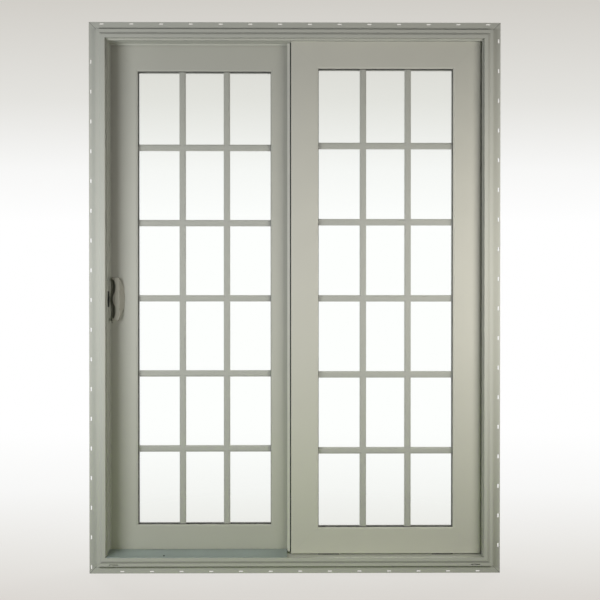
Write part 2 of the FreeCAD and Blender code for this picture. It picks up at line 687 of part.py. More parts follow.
def build_frame_seals():
    """Builds the brush seals in the head, the left jamb and the sill, on both legs."""
    depth = "Sizes.running_gap - Sizes.pile_gap"
    fronts = {"outer": "Layout.leg_back", "inner": "Layout.inner_leg_front - Sizes.running_gap + Sizes.pile_gap"}
    edge = "(Sizes.leg_reach - Sizes.pile_inset)"
    right_end = "(Layout.half_frame - Sizes.leg_reach)"
    low_edge = "(Layout.sill_leg_top - Sizes.pile_inset)"
    strips = []
    for side, front in fronts.items():
        left = f"({edge} - Layout.half_frame)"
        top = f"(Layout.frame_top - {edge})"
        corner = (f"{left} - Sizes.pile_width", front, low_edge)
        size = ("Sizes.pile_width", depth, f"{top} - {low_edge}")
        strips.append(box(f"{side}_jamb_pile", corner, size))
        corner = (f"{left} - Sizes.pile_width", front, top)
        size = (f"{right_end} - {left} + Sizes.pile_width", depth, "Sizes.pile_width")
        strips.append(box(f"{side}_head_pile", corner, size))
        corner = (f"{left} - Sizes.pile_width", front, f"{low_edge} - Sizes.pile_width")
        size = (f"{right_end} - {left} + Sizes.pile_width", depth, "Sizes.pile_width")
        strips.append(box(f"{side}_sill_pile", corner, size))
    sub_part(fuse("frame_seals", strips))


def wheel(name, centre):
    """Makes one wheel with its axle: flanges either side of a groove that takes the track's rib."""
    body = doc.addObject("PartDesign::Body", "Body_" + name)
    section = new_sketch(body, "YZ_Plane")
    axle_end = "(Sizes.channel_width / 2 - Sizes.housing_gap - Sizes.housing_wall)"
    rim = "Sizes.wheel_width / 2"
    groove = "(Sizes.track_rib / 2 + Sizes.wheel_gap)"
    flange = "Sizes.wheel_radius + Sizes.wheel_flange"
    outline(section, [
        (f"-{axle_end}", "0"), (f"-{axle_end}", "Sizes.axle_radius"),
        (f"-{rim}", "Sizes.axle_radius"), (f"-{rim}", flange),
        (f"-{groove}", flange), (f"-{groove}", "Sizes.wheel_radius"),
        (groove, "Sizes.wheel_radius"), (groove, flange),
        (rim, flange), (rim, "Sizes.axle_radius"),
        (axle_end, "Sizes.axle_radius"), (axle_end, "0"),
    ])
    turned = body.newObject("PartDesign::Revolution", f"{name}_turned")
    turned.Profile = section
    turned.ReferenceAxis = (section, ["H_Axis"])
    place(body, centre, "Layout.sliding_middle", "Layout.wheel_axis")
    return body


def build_rollers():
    """Builds the two rollers in the channel of the sliding bottom rail."""
    middle = "Layout.sliding_middle"
    low = "Layout.sliding_bottom"
    length = "Sizes.roller_length"
    wall = "Sizes.housing_wall"
    half_width = "(Sizes.channel_width / 2 - Sizes.housing_gap)"
    height = "Sizes.channel_depth - Sizes.housing_gap"
    plates = []
    wheels = []
    for side, centre in (
        ("left", "(Layout.sliding_left + Sizes.roller_inset)"),
        ("right", "(Layout.sliding_right - Sizes.roller_inset)"),
    ):
        start = f"{centre} - {length} / 2"
        front = f"{middle} - {half_width}"
        back = f"{middle} + {half_width} - {wall}"
        bridge = f"{low} + {height} - {wall}"
        plates.append(box(f"{side}_front_cheek", (start, front, low), (length, wall, height)))
        plates.append(box(f"{side}_back_cheek", (start, back, low), (length, wall, height)))
        plates.append(box(f"{side}_bridge", (start, front, bridge), (length, f"2 * {half_width}", wall)))
        wheels.append(wheel(f"{side}_wheel", centre))
    sub_part(fuse("roller_housings", plates))
    sub_part(fuse("roller_wheels", wheels))


def pull_form(name, inset, back, front):
    """Makes the outside pull's form between two depths, with its walls inset.

    Seen from outside it is a rounded bar whose right side bulges, and the bulge slopes back from the front.
    """
    body = doc.addObject("PartDesign::Body", "Body_" + name)
    corner = "Sizes.pull_corner"
    # Share of a corner's radius that its arc leaves out at its middle.
    cut = f"(1 - cos(45)) * {corner}"
    half = f"(Sizes.pull_height / 2 - {inset})"
    end = f"(Sizes.pull_end_width - {inset})"
    face = new_sketch(body, "XZ_Plane")
    face.setExpression("AttachmentOffset.Base.z", back)
    outline(face, [
        (f"{inset} + {corner}", f"-{half}"),
        (f"{end} - {corner}", f"-{half}", f"{end} - {cut}", f"-{half} + {cut}"),
        (end, f"-{half} + {corner}", f"Sizes.pull_width - {inset}", "0"),
        (end, f"{half} - {corner}", f"{end} - {cut}", f"{half} - {cut}"),
        (f"{end} - {corner}", half),
        (f"{inset} + {corner}", half, f"{inset} + {cut}", f"{half} - {cut}"),
        (inset, f"{half} - {corner}"),
        (inset, f"-{half} + {corner}", f"{inset} + {cut}", f"-{half} + {cut}"),
    ])
    pad(body, face, f"{front} - {back}")
    # The slope keeps the wall's thickness square to itself.
    shift = f"{inset} * sqrt(1 + ((Sizes.pull_width - Sizes.pull_front_width) / Sizes.pull_projection) ^ 2)"
    slope = new_sketch(body, "XY_Plane")
    outline(slope, [
        (f"Sizes.pull_front_width - {shift}", "-Sizes.pull_projection"),
        ("2 * Sizes.pull_width", "-Sizes.pull_projection"),
        ("2 * Sizes.pull_width", "0"),
        (f"Sizes.pull_width - {shift}", "0"),
    ])
    cut_through(body, slope)
    place(body, "Layout.pull_left", "Layout.sliding_front", "Sizes.pull_centre")
    return body


def build_outside_pull():
    """Builds the cup pull: a shell with a bulging sloped side and a wavy lip beside its opening."""
    wall = "Sizes.pull_wall"
    shell = pull_form("pull_shell", "0", "0", "Sizes.pull_projection")
    hollow = pull_form("pull_hollow", wall, wall, f"Sizes.pull_projection - {wall}")
    # Finger opening through the front and the flat side, with the lip's wave as its right side.
    mouth = new_sketch(hollow, "XZ_Plane")
    mouth.setExpression("AttachmentOffset.Base.z", "Sizes.pull_projection - Sizes.mouth_depth")
    middle = "Sizes.wave_middle"
    quarter = "Sizes.wave_quarter"
    end = f"(3 * {quarter})"
    round_ = "Sizes.mouth_corner"
    cut = f"(1 - cos(45)) * {round_}"
    high = f"({end} + {round_})"
    crest = f"{middle} + Sizes.wave_depth"
    outline(mouth, [
        (f"-{wall}", f"-{high}"),
        (f"{middle} - {round_}", f"-{high}", f"{middle} - {cut}", f"-{high} + {cut}"),
        (middle, f"-{end}", crest, f"-2 * {quarter}"),
        (middle, f"-{quarter}", f"{middle} - Sizes.wave_depth", "0"),
        (middle, quarter, crest, f"2 * {quarter}"),
        (middle, end, f"{middle} - {cut}", f"{high} - {cut}"),
        (f"{middle} - {round_}", high),
        (f"-{wall}", high),
    ])
    pad(hollow, mouth, f"Sizes.mouth_depth + {wall}")
    pull = doc.addObject("Part::Cut", "Cut_pull")
    pull.Base = shell
    pull.Tool = hollow
    pull.Label = "exterior_pull"
    sub_part(pull)


def build_inside_pull():
    """Builds the inside grip on its plate, and the thumb latch."""
    middle = "Layout.inside_pull_middle"
    corner = (f"{middle} - Sizes.plate_width / 2", "Layout.sliding_back",
              "Sizes.pull_centre - Sizes.grip_height / 2 - Sizes.plate_end")
    size = ("Sizes.plate_width", "Sizes.plate_thickness", "Sizes.grip_height + 2 * Sizes.plate_end")
    plate = box("inside_plate", corner, size)
    grip = doc.addObject("PartDesign::Body", "Body_inside_grip")
    sketch = new_sketch(grip, "YZ_Plane")
    half = "Sizes.grip_height / 2"
    reach = "Sizes.grip_projection"
    thick = "Sizes.grip_thickness"
    bend = "Sizes.grip_bend"
    inner = f"({bend} - {thick})"
    # Share of a bend's radius that its arc leaves out at its middle.
    cut = "(1 - cos(45))"
    outer_cut = f"{cut} * {bend}"
    inner_cut = f"{cut} * {inner}"
    inner_reach = f"({reach} - {thick})"
    inner_half = f"({half} - {thick})"
    outline(sketch, [
        ("0", f"-{half}"),
        (f"{reach} - {bend}", f"-{half}", f"{reach} - {outer_cut}", f"-{half} + {outer_cut}"),
        (reach, f"-{half} + {bend}"),
        (reach, f"{half} - {bend}", f"{reach} - {outer_cut}", f"{half} - {outer_cut}"),
        (f"{reach} - {bend}", half),
        ("0", half),
        ("0", inner_half),
        (f"{inner_reach} - {inner}", inner_half, f"{inner_reach} - {inner_cut}", f"{inner_half} - {inner_cut}"),
        (inner_reach, f"{inner_half} - {inner}"),
        (inner_reach, f"-{inner_half} + {inner}", f"{inner_reach} - {inner_cut}", f"-{inner_half} + {inner_cut}"),
        (f"{inner_reach} - {inner}", f"-{inner_half}"),
        ("0", f"-{inner_half}"),
    ])
    pad(grip, sketch, "Sizes.grip_width", symmetric=True)
    place(grip, middle, "Layout.sliding_back + Sizes.plate_thickness", "Sizes.pull_centre")
    sub_part(fuse("interior_pull", [plate, grip]))
    corner = (f"{middle} - Sizes.latch_width / 2", "Layout.sliding_back + Sizes.plate_thickness",
              "Sizes.pull_centre + (Sizes.grip_height + Sizes.plate_end - Sizes.latch_length) / 2")
    sub_part(box("thumb_latch", corner, ("Sizes.latch_width", "Sizes.latch_projection", "Sizes.latch_length")))


def build_lock():
    """Builds the lock face on the stile, its keeper, the screen strike and the bumper."""
    middle = "Layout.sliding_middle"
    corner = ("Layout.sliding_left - Sizes.lock_thickness", f"{middle} - Sizes.lock_width / 2",
              "Sizes.pull_centre - Sizes.lock_height / 2")
    sub_part(box("lock_face", corner, ("Sizes.lock_thickness", "Sizes.lock_width", "Sizes.lock_height")))

    corner = ("Layout.pocket_left", f"{middle} - Sizes.keeper_width / 2",
              "Sizes.pull_centre - Sizes.keeper_height / 2")
    plate = box("keeper_plate", corner, ("Sizes.keeper_thickness", "Sizes.keeper_width", "Sizes.keeper_height"))
    corner = ("Layout.pocket_left", f"{middle} - Sizes.keeper_slot / 2",
              "Sizes.pull_centre - Sizes.keeper_mouth / 2")
    mouth = box("keeper_opening", corner, ("Sizes.keeper_thickness", "Sizes.keeper_slot", "Sizes.keeper_mouth"))
    keeper = doc.addObject("Part::Cut", "Cut_keeper")
    keeper.Base = plate
    keeper.Tool = mouth
    keeper.Label = "lock_keeper"
    sub_part(keeper)

    corner = ("Layout.reveal_left", "Sizes.strike_front", "Sizes.pull_centre - Sizes.strike_height / 2")
    size = ("Sizes.strike_thickness", "Sizes.strike_width", "Sizes.strike_height")
    sub_part(box("screen_strike", corner, size))

    corner = ("Layout.sliding_right + Layout.panel_travel + Sizes.running_gap",
              f"{middle} - Sizes.bumper_width / 2", "Layout.pocket_ceiling - Sizes.bumper_height")
    size = ("Sizes.bumper_length", "Sizes.bumper_width", "Sizes.bumper_height")
    sub_part(box("open_bumper", corner, size))


build_frame()
build_sill_fittings()
build_panel("fixed", "Sizes.fixed_front")
build_panel("sliding", "Layout.sliding_front")
build_meeting_stiles()
build_frame_seals()
build_rollers()
build_outside_pull()
build_inside_pull()
build_lock()

doc.recompute()
for thing in doc.Objects:
    if "Invalid" in thing.State or "Error" in thing.State:
        raise RuntimeError(f"{thing.Label} failed: {thing.State}")
for part in parts:
    if part.Shape.isNull() or not part.Shape.isValid():
        raise RuntimeError(f"{part.Label} has no valid shape")
os.makedirs("parts", exist_ok=True)
for part in parts:
    part.Shape.exportStep(f"parts/{part.Label}.step")
    print(part.Label, len(part.Shape.Solids), round(part.Shape.Volume))
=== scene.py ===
"""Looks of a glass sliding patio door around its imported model: finishes, fittings, light and camera."""

import json
import logging
import math
import random
from collections.abc import Callable
from dataclasses import dataclass
from enum import Enum

import bmesh
import bpy
from bmesh.types import BMEdge, BMesh, BMVert
from bpy.types import ID, Material, Mesh, Node, NodeOutputs, NodeSocket, NodeTree, Object
from mathutils import Matrix, Vector


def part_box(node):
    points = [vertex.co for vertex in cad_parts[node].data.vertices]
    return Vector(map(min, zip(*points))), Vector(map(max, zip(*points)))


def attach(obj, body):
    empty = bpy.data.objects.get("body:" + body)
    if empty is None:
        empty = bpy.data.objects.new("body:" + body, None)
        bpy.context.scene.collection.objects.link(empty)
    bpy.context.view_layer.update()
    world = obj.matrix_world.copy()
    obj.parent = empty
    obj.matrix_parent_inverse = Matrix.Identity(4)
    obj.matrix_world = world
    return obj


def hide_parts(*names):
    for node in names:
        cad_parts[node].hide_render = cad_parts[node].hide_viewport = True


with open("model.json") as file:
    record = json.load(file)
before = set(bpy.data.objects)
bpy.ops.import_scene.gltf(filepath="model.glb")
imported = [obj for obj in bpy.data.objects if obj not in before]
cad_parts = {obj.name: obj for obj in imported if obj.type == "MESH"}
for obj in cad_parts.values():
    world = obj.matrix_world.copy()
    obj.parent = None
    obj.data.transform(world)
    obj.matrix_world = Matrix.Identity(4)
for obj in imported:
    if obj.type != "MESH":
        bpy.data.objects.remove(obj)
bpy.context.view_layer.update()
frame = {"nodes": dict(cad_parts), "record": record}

MM = 0.001
OUTSIDE = Vector((0.0, -1.0, 0.0))
INSIDE = Vector((0.0, 1.0, 0.0))
LEFT = Vector((-1.0, 0.0, 0.0))
RIGHT = Vector((1.0, 0.0, 0.0))
UP = Vector((0.0, 0.0, 1.0))
DOWN = Vector((0.0, 0.0, -1.0))

log = logging.getLogger("patio_door")


class Run(Enum):
    """Direction in which a member was extruded."""

    LEVEL = "level"
    UPRIGHT = "upright"


class Body(Enum):
    """What a piece moves with."""

    FRAME = "frame"
    PANEL = "sliding_panel"


def linear(code: str) -> tuple[float, float, float, float]:
    """Turns an sRGB hex colour into linear light.

    Args:
        code: Colour as #RRGGBB.

    Returns:
        Linear red, green, blue and an alpha of 1.
    """
    channels = (int(code[place:place + 2], 16) / 255 for place in (1, 3, 5))
    red, green, blue = (c / 12.92 if c <= 0.04045 else ((c + 0.055) / 1.055) ** 2.4 for c in channels)
    return (red, green, blue, 1.0)


def shaded(code: str, share: float) -> tuple[float, float, float, float]:
    """Gives a colour with its light multiplied by a share."""
    red, green, blue, alpha = linear(code)
    return (red * share, green * share, blue * share, alpha)


@dataclass(frozen=True)
class Graph:
    """Shader nodes of a finish or of the surroundings."""

    tree: NodeTree

    def add(self, kind: str, inputs: dict | None = None, **settings: object) -> Node:
        """Adds one node with its settings, values and links.

        Args:
            kind: Type of the node, without the word ShaderNode.
            inputs: Socket name or number, and its value, or the output or the node that feeds it.
            settings: Attributes of the node.

        Returns:
            The new node.
        """
        made = self.tree.nodes.new(f"ShaderNode{kind}")
        for name, setting in settings.items():
            setattr(made, name, setting)
        for name, fed in (inputs or {}).items():
            if isinstance(fed, Node):
                fed = fed.outputs[0]
            if isinstance(fed, NodeSocket):
                self.tree.links.new(fed, made.inputs[name])
            else:
                made.inputs[name].default_value = fed
        return made

    def calc(self, operation: str, *values: float | Node | NodeSocket) -> Node:
        """Adds a calculation with numbers and with what other nodes give."""
        return self.add("Math", dict(enumerate(values)), operation=operation)

    def length(self, vector: Node | NodeSocket) -> NodeSocket:
        """Adds the length of a vector."""
        return self.add("VectorMath", {0: vector}, operation="LENGTH").outputs["Value"]

    def place(self) -> NodeSocket:
        """Adds the place on the object, in metres."""
        return self.add("TexCoord").outputs["Object"]

    def axes(self, vector: NodeSocket) -> NodeOutputs:
        """Splits a vector into X, Y and Z."""
        return self.add("SeparateXYZ", {0: vector}).outputs

    def noise(self, place: Node | NodeSocket, size: float, detail: float) -> NodeSocket:
        """Adds a noise whose clouds have about a size in metres."""
        return self.add("TexNoise", {"Vector": place, "Scale": 1 / size, "Detail": detail}).outputs["Fac"]

    def blend(self, share: Node | NodeSocket, first: object, second: object) -> NodeSocket:
        """Adds a colour that a share moves from the first to the second."""
        return self.add("Mix", {"Factor": share, "A": first, "B": second},
                        data_type="RGBA").outputs["Result"]

    def mottled(self, noise: NodeSocket, colour: str, variation: float) -> NodeSocket:
        """Adds a colour whose light a noise varies by a share, both ways."""
        return self.blend(noise, shaded(colour, 1 - variation), shaded(colour, 1 + variation))

    def between(self, noise: NodeSocket, low: float, high: float) -> Node:
        """Adds a value that a noise moves between two others."""
        return self.add("MapRange", {"Value": noise, "To Min": low, "To Max": high})

    def relief(self, noise: NodeSocket, share: float, depth: float, edge: float) -> Node:
        """Adds a surface with rounded edges that a noise raises.

        Args:
            noise: Height of the surface.
            share: How much of the relief shows.
            depth: Depth of the relief in metres.
            edge: Radius of the edges in metres.

        Returns:
            The surface's normals.
        """
        rounded = self.add("Bevel", {"Radius": edge}, samples=4)
        return self.add("Bump", {"Height": noise, "Strength": share, "Distance": depth, "Normal": rounded})

    def surface(self, shader: Node) -> None:
        """Links a shader to the material's output."""
        self.add("OutputMaterial", {"Surface": shader})


def new_material(name: str) -> tuple[Material, Graph]:
    """Starts a material with an empty node tree.

    Args:
        name: Name of the finish.

    Returns:
        The material and its nodes.
    """
    material = bpy.data.materials.new(name)
    material.use_nodes = True
    material.node_tree.nodes.clear()
    return material, Graph(material.node_tree)


@dataclass(frozen=True)
class Mitre:
    """Rectangle of members whose ends are mitred and welded."""

    left: float
    right: float
    low: float
    high: float
    stile: float = 1.0
    top: float = 1.0
    bottom: float = 1.0

    def sides(self, graph: Graph) -> tuple[Node, Node]:
        """Adds nodes that measure how far in a point lies, in shares of the members' widths.

        Args:
            graph: Nodes of the finish.

        Returns:
            The share from the nearer stile's edge, and from the nearer rail's edge.
        """
        axes = graph.axes(graph.place())
        off = graph.calc("SUBTRACT", axes["X"], (self.left + self.right) / 2)
        inward = graph.calc("SUBTRACT", (self.right - self.left) / 2, graph.calc("ABSOLUTE", off))
        down = graph.calc("SUBTRACT", self.high, axes["Z"])
        rise = graph.calc("SUBTRACT", axes["Z"], self.low)
        along = graph.calc("MINIMUM", graph.calc("DIVIDE", down, self.top),
                           graph.calc("DIVIDE", rise, self.bottom))
        return graph.calc("DIVIDE", inward, self.stile), along

    def seam(self, graph: Graph, half_width: float, reach: float) -> Node:
        """Adds nodes that mark the weld line.

        Args:
            graph: Nodes of the finish.
            half_width: Half the width of the line in metres.
            reach: Share of the members' width that the line runs in from the corner.

        Returns:
            The node that gives 1 on the line and 0 away from it.
        """
        across, along = self.sides(graph)
        gap = graph.calc("ABSOLUTE", graph.calc("SUBTRACT", across, along))
        line = graph.add("MapRange", {"Value": gap, "From Max": half_width * math.sqrt(2) / self.stile,
                                      "To Min": 1.0, "To Max": 0.0}, interpolation_type="SMOOTHSTEP")
        return graph.calc("MULTIPLY", line, graph.calc("LESS_THAN", across, reach))


@dataclass(frozen=True)
class ExtrudedVinyl:
    """Rigid PVC coloured through: satin, with faint die lines along its run and a weld line at each mitre."""

    name: str
    run: Run
    mitre: Mitre
    seam_reach: float = 1.0
    seam_shade: float = 0.86
    seam_half: float = 0.7 * MM
    colour: str = "#BFBFB4"
    smoothest: float = 0.38
    roughest: float = 0.48
    clouding: float = 0.03
    relief: float = 0.1 * MM
    relief_share: float = 0.12
    ior: float = 1.53
    line_spacing: float = 4 * MM
    line_length: float = 900 * MM
    cloud: float = 160 * MM
    edge: float = 0.8 * MM

    def material(self) -> Material:
        """Makes the finish from a drawn noise, a cloudy tone, rounded edges and the weld line.

        Returns:
            The material.
        """
        material, graph = new_material(self.name)
        place = graph.place()
        fine, long = 1 / self.line_spacing, 1 / self.line_length
        stretch = (fine, fine, long) if self.run is Run.UPRIGHT else (long, fine, fine)
        lines = graph.noise(graph.add("Mapping", {"Vector": place, "Scale": stretch}), 1.0, 3.0)
        tone = graph.mottled(graph.noise(place, self.cloud, 2.0), self.colour, self.clouding)
        seam = self.mitre.seam(graph, self.seam_half, self.seam_reach)
        graph.surface(graph.add("BsdfPrincipled", {
            "Base Color": graph.blend(seam, tone, shaded(self.colour, self.seam_shade)),
            "Roughness": graph.between(lines, self.smoothest, self.roughest),
            "Normal": graph.relief(lines, self.relief_share, self.relief, self.edge),
            "IOR": self.ior}))
        return material


@dataclass(frozen=True)
class FloatGlass:
    """Soda-lime float glass: clear, with the faint green of its iron."""

    name: str = "float_glass"
    colour: str = "#FEFFFE"
    ior: float = 1.52

    def material(self) -> Material:
        """Makes the finish. Lamps and scattered light go straight through it.

        Returns:
            The material.
        """
        material, graph = new_material(self.name)
        body = graph.add("BsdfPrincipled", {"Base Color": linear(self.colour), "Roughness": 0.0,
                                            "IOR": self.ior, "Transmission Weight": 1.0})
        clear = graph.add("BsdfTransparent", {"Color": linear(self.colour)})
        ray = graph.add("LightPath").outputs
        seen = graph.add("MixShader", {0: ray["Is Diffuse Ray"], 1: body, 2: clear})
        graph.surface(graph.add("MixShader", {0: ray["Is Shadow Ray"], 1: seen, 2: clear}))
        return material


@dataclass(frozen=True)
class Coating:
    """Paint, plastic or metal of one colour with a fine grain."""

    name: str
    colour: str
    roughness: float
    metallic: float = 0.0
    ior: float = 1.5
    grain: float = 1.5 * MM
    stretch: tuple[float, float, float] = (1.0, 1.0, 1.0)
    relief: float = 0.04 * MM
    relief_share: float = 0.3
    variation: float = 0.04
    unevenness: float = 0.15
    edge: float = 0.3 * MM

    def material(self) -> Material:
        """Makes the finish from one noise for tone, roughness and grain, with rounded edges.

        Returns:
            The material.
        """
        material, graph = new_material(self.name)
        scaled = graph.add("Mapping", {"Vector": graph.place(), "Scale": self.stretch})
        grain = graph.noise(scaled, self.grain, 3.0)
        inputs = {"Base Color": graph.mottled(grain, self.colour, self.variation),
                  "Roughness": graph.between(grain, self.roughness * (1 - self.unevenness),
                                             self.roughness * (1 + self.unevenness)),
                  "Metallic": self.metallic,
                  "Normal": graph.relief(grain, self.relief_share, self.relief, self.edge)}
        if not self.metallic:
            inputs["IOR"] = self.ior
        graph.surface(graph.add("BsdfPrincipled", inputs))
        return material


@dataclass(frozen=True)
class PerforatedSpacer:
    """Roll-formed spacer bar: dark matt coating and a row of breather holes, painted as near-black dots of
    shade.
    """

    name: str = "dark_spacer"
    colour: str = "#2B2B2A"
    hole: str = "#070707"
    pitch: float = 6 * MM
    radius: float = 0.9 * MM
    roughness: float = 0.6
    ior: float = 1.5

    def material(self) -> Material:
        """Makes the finish, its holes painted as dots of shade, drawn coarser than real ones so that they
        show.

        Returns:
            The material.
        """
        material, graph = new_material(self.name)
        scaled = graph.add("VectorMath", {0: graph.place(), 1: (1 / self.pitch,) * 3}, operation="MULTIPLY")
        cell = graph.add("VectorMath", {0: scaled}, operation="FRACTION")
        centred = graph.add("VectorMath", {0: cell, 1: (0.5, 0.5, 0.5)}, operation="SUBTRACT")
        dot = graph.calc("LESS_THAN", graph.length(centred), self.radius / self.pitch)
        graph.surface(graph.add("BsdfPrincipled", {
            "Base Color": graph.blend(dot, linear(self.colour), linear(self.hole)),
            "Roughness": self.roughness, "IOR": self.ior}))
        return material


@dataclass(frozen=True)
class WovenPile:
    """Polypropylene brush pile: dull fibres whose tips catch more light than their roots."""

    name: str = "grey_pile"
    colour: str = "#5A5A54"
    fibre: float = 0.5 * MM
    contrast: float = 0.5
    roughness: float = 0.95
    sheen: float = 0.25
    sheen_roughness: float = 0.5

    def material(self) -> Material:
        """Makes the finish from a noise about as fine as a tuft.

        Returns:
            The material.
        """
        material, graph = new_material(self.name)
        fibres = graph.noise(graph.place(), self.fibre, 2.0)
        graph.surface(graph.add("BsdfPrincipled", {
            "Base Color": graph.mottled(fibres, self.colour, self.contrast), "Roughness": self.roughness,
            "Sheen Weight": self.sheen, "Sheen Roughness": self.sheen_roughness}))
        return material


FINISHES = {
    "clear_glass": FloatGlass(),
    # Baked enamel on the aluminium bars between the panes.
    "bar_enamel": Coating("bar_enamel", "#B2B1A9", 0.35, grain=2 * MM),
    "dark_spacer": PerforatedSpacer(),
    # Extruded rubber: dull black.
    "black_gasket": Coating("black_gasket", "#1C1C1B", 0.6, grain=0.8 * MM),
    # Extruded aluminium with a matt anodised skin: cool grey, mostly scattering, drawn along its run.
    "sill_aluminium": Coating("sill_aluminium", "#A5B0AD", 0.45, metallic=0.3, grain=2 * MM,
                              stretch=(0.02, 1.0, 1.0)),
    # Zinc-plated steel: fine bright crystals.
    "plated_steel": Coating("plated_steel", "#B4B2AC", 0.3, metallic=1.0, grain=0.6 * MM, edge=0.15 * MM),
    # Moulded nylon: milky satin.
    "nylon": Coating("nylon", "#DEDCD4", 0.4, ior=1.53),
    "grey_pile": WovenPile(),
    # Enamel on die-cast handles: the vinyl's colour darkened as painted shade, a little glossier.
    "clay_enamel": Coating("clay_enamel", "#B0AEA1", 0.3, grain=0.8 * MM, relief=0.02 * MM),
    # Moulded black plastic: fine spark-eroded grain.
    "black_plastic": Coating("black_plastic", "#202020", 0.45, grain=0.8 * MM),
}


def block(mesh: BMesh, low: Vector, high: Vector) -> list[BMVert]:
    """Adds a rectangular block.

    Args:
        mesh: Mesh that gets the block.
        low: Its lowest corner.
        high: Its highest corner.

    Returns:
        The block's vertices.
    """
    low, high = Vector(low), Vector(high)
    made = bmesh.ops.create_cube(mesh, size=1.0)["verts"]
    bmesh.ops.scale(mesh, vec=high - low, verts=made)
    bmesh.ops.translate(mesh, vec=(low + high) / 2, verts=made)
    return made


def ease(mesh: BMesh, width: float, segments: int = 3, least: float = 25.0,
         chosen: Callable[[BMEdge], bool] | None = None) -> None:
    """Rounds the sharp edges of a mesh.

    Args:
        mesh: Mesh whose edges are rounded.
        width: Size of the rounding in metres.
        segments: Faces across a rounding.
        least: Smallest angle in degrees between two faces that counts as sharp.
        chosen: Test that an edge has to pass, or none for all.
    """
    sharp = math.radians(least)
    edges = [edge for edge in mesh.edges
             if len(edge.link_faces) == 2 and edge.calc_face_angle(0.0) > sharp
             and (not chosen or chosen(edge))]
    bmesh.ops.bevel(mesh, geom=edges, offset=width, offset_type="OFFSET", segments=segments, profile=0.5,
                    affect="EDGES", clamp_overlap=True, material=-1)


def copied(node: str, merged: float = 0.01 * MM, flat: float = 1.0) -> BMesh:
    """Copies a node's mesh with its loose triangles merged into whole faces.

    Args:
        node: Name of the node.
        merged: Distance in metres under which corners become one.
        flat: Angle in degrees under which neighbouring faces become one.

    Returns:
        The merged copy.
    """
    mesh = bmesh.new()
    mesh.from_mesh(frame["nodes"][node].data)
    bmesh.ops.remove_doubles(mesh, verts=mesh.verts, dist=merged)
    bmesh.ops.dissolve_limit(mesh, angle_limit=math.radians(flat), verts=mesh.verts, edges=mesh.edges)
    return mesh


def stored(name: str, mesh: BMesh) -> Mesh:
    """Stores a worked mesh in the scene's data and frees it.

    Args:
        name: Name of the stored mesh.
        mesh: Worked mesh.

    Returns:
        The stored mesh.
    """
    data = bpy.data.meshes.new(name)
    mesh.to_mesh(data)
    mesh.free()
    return data


def put(name: str, data: ID) -> Object:
    """Puts a mesh, a lamp or a camera into the scene.

    Args:
        name: Name of the object.
        data: What the object shows.

    Returns:
        The object.
    """
    made = bpy.data.objects.new(name, data)
    bpy.context.scene.collection.objects.link(made)
    return made


@dataclass(frozen=True)
class PanHead:
    """Pan head of a screw with a cross recess; all sizes but its radius are shares of that."""

    radius: float
    top: float = 0.8
    height: float = 0.4
    rim: float = 0.16
    crown: float = 0.08
    arm: float = 0.56
    half_arm: float = 0.12
    recess: float = 0.3
    recess_floor: float = 0.75
    sides: int = 16

    def cross_corner(self, corner: Vector) -> Vector:
        """Moves a corner of the head's many-sided top to its place on the cross.

        Args:
            corner: Corner as it lies on the regular face.

        Returns:
            The corner's new place.
        """
        step = round(math.atan2(corner.y, corner.x) / (2 * math.pi) * self.sides) % self.sides
        quarter = Matrix.Rotation(math.pi / 2 * (step // 4), 3, "Z")
        arm, half = self.arm * self.radius, self.half_arm * self.radius
        spot = [(arm, 0.0), (arm, half), (half, half), (half, arm)][step % 4]
        return quarter @ Vector((*spot, corner.z))

    def mesh(self) -> Mesh:
        """Makes the head.

        Returns:
            The mesh, its underside at the origin and its top along Z.
        """
        mesh = bmesh.new()
        bmesh.ops.create_cone(mesh, cap_ends=True, segments=self.sides, radius1=self.radius,
                              radius2=self.top * self.radius, depth=self.height * self.radius)
        bmesh.ops.translate(mesh, vec=(0, 0, self.height / 2 * self.radius), verts=mesh.verts)
        top = max(mesh.faces, key=lambda face: face.calc_center_median().z)
        bmesh.ops.inset_region(mesh, faces=[top], thickness=self.rim * self.radius,
                               depth=self.crown * self.radius)
        for corner in top.verts:
            corner.co = self.cross_corner(corner.co)
        floor = bmesh.ops.extrude_discrete_faces(mesh, faces=[top])["faces"][0]
        share = self.recess_floor
        bmesh.ops.scale(mesh, vec=(share, share, 1.0), verts=floor.verts)
        bmesh.ops.translate(mesh, vec=(0, 0, -self.recess * self.radius), verts=floor.verts)
        return stored("screw_head", mesh)


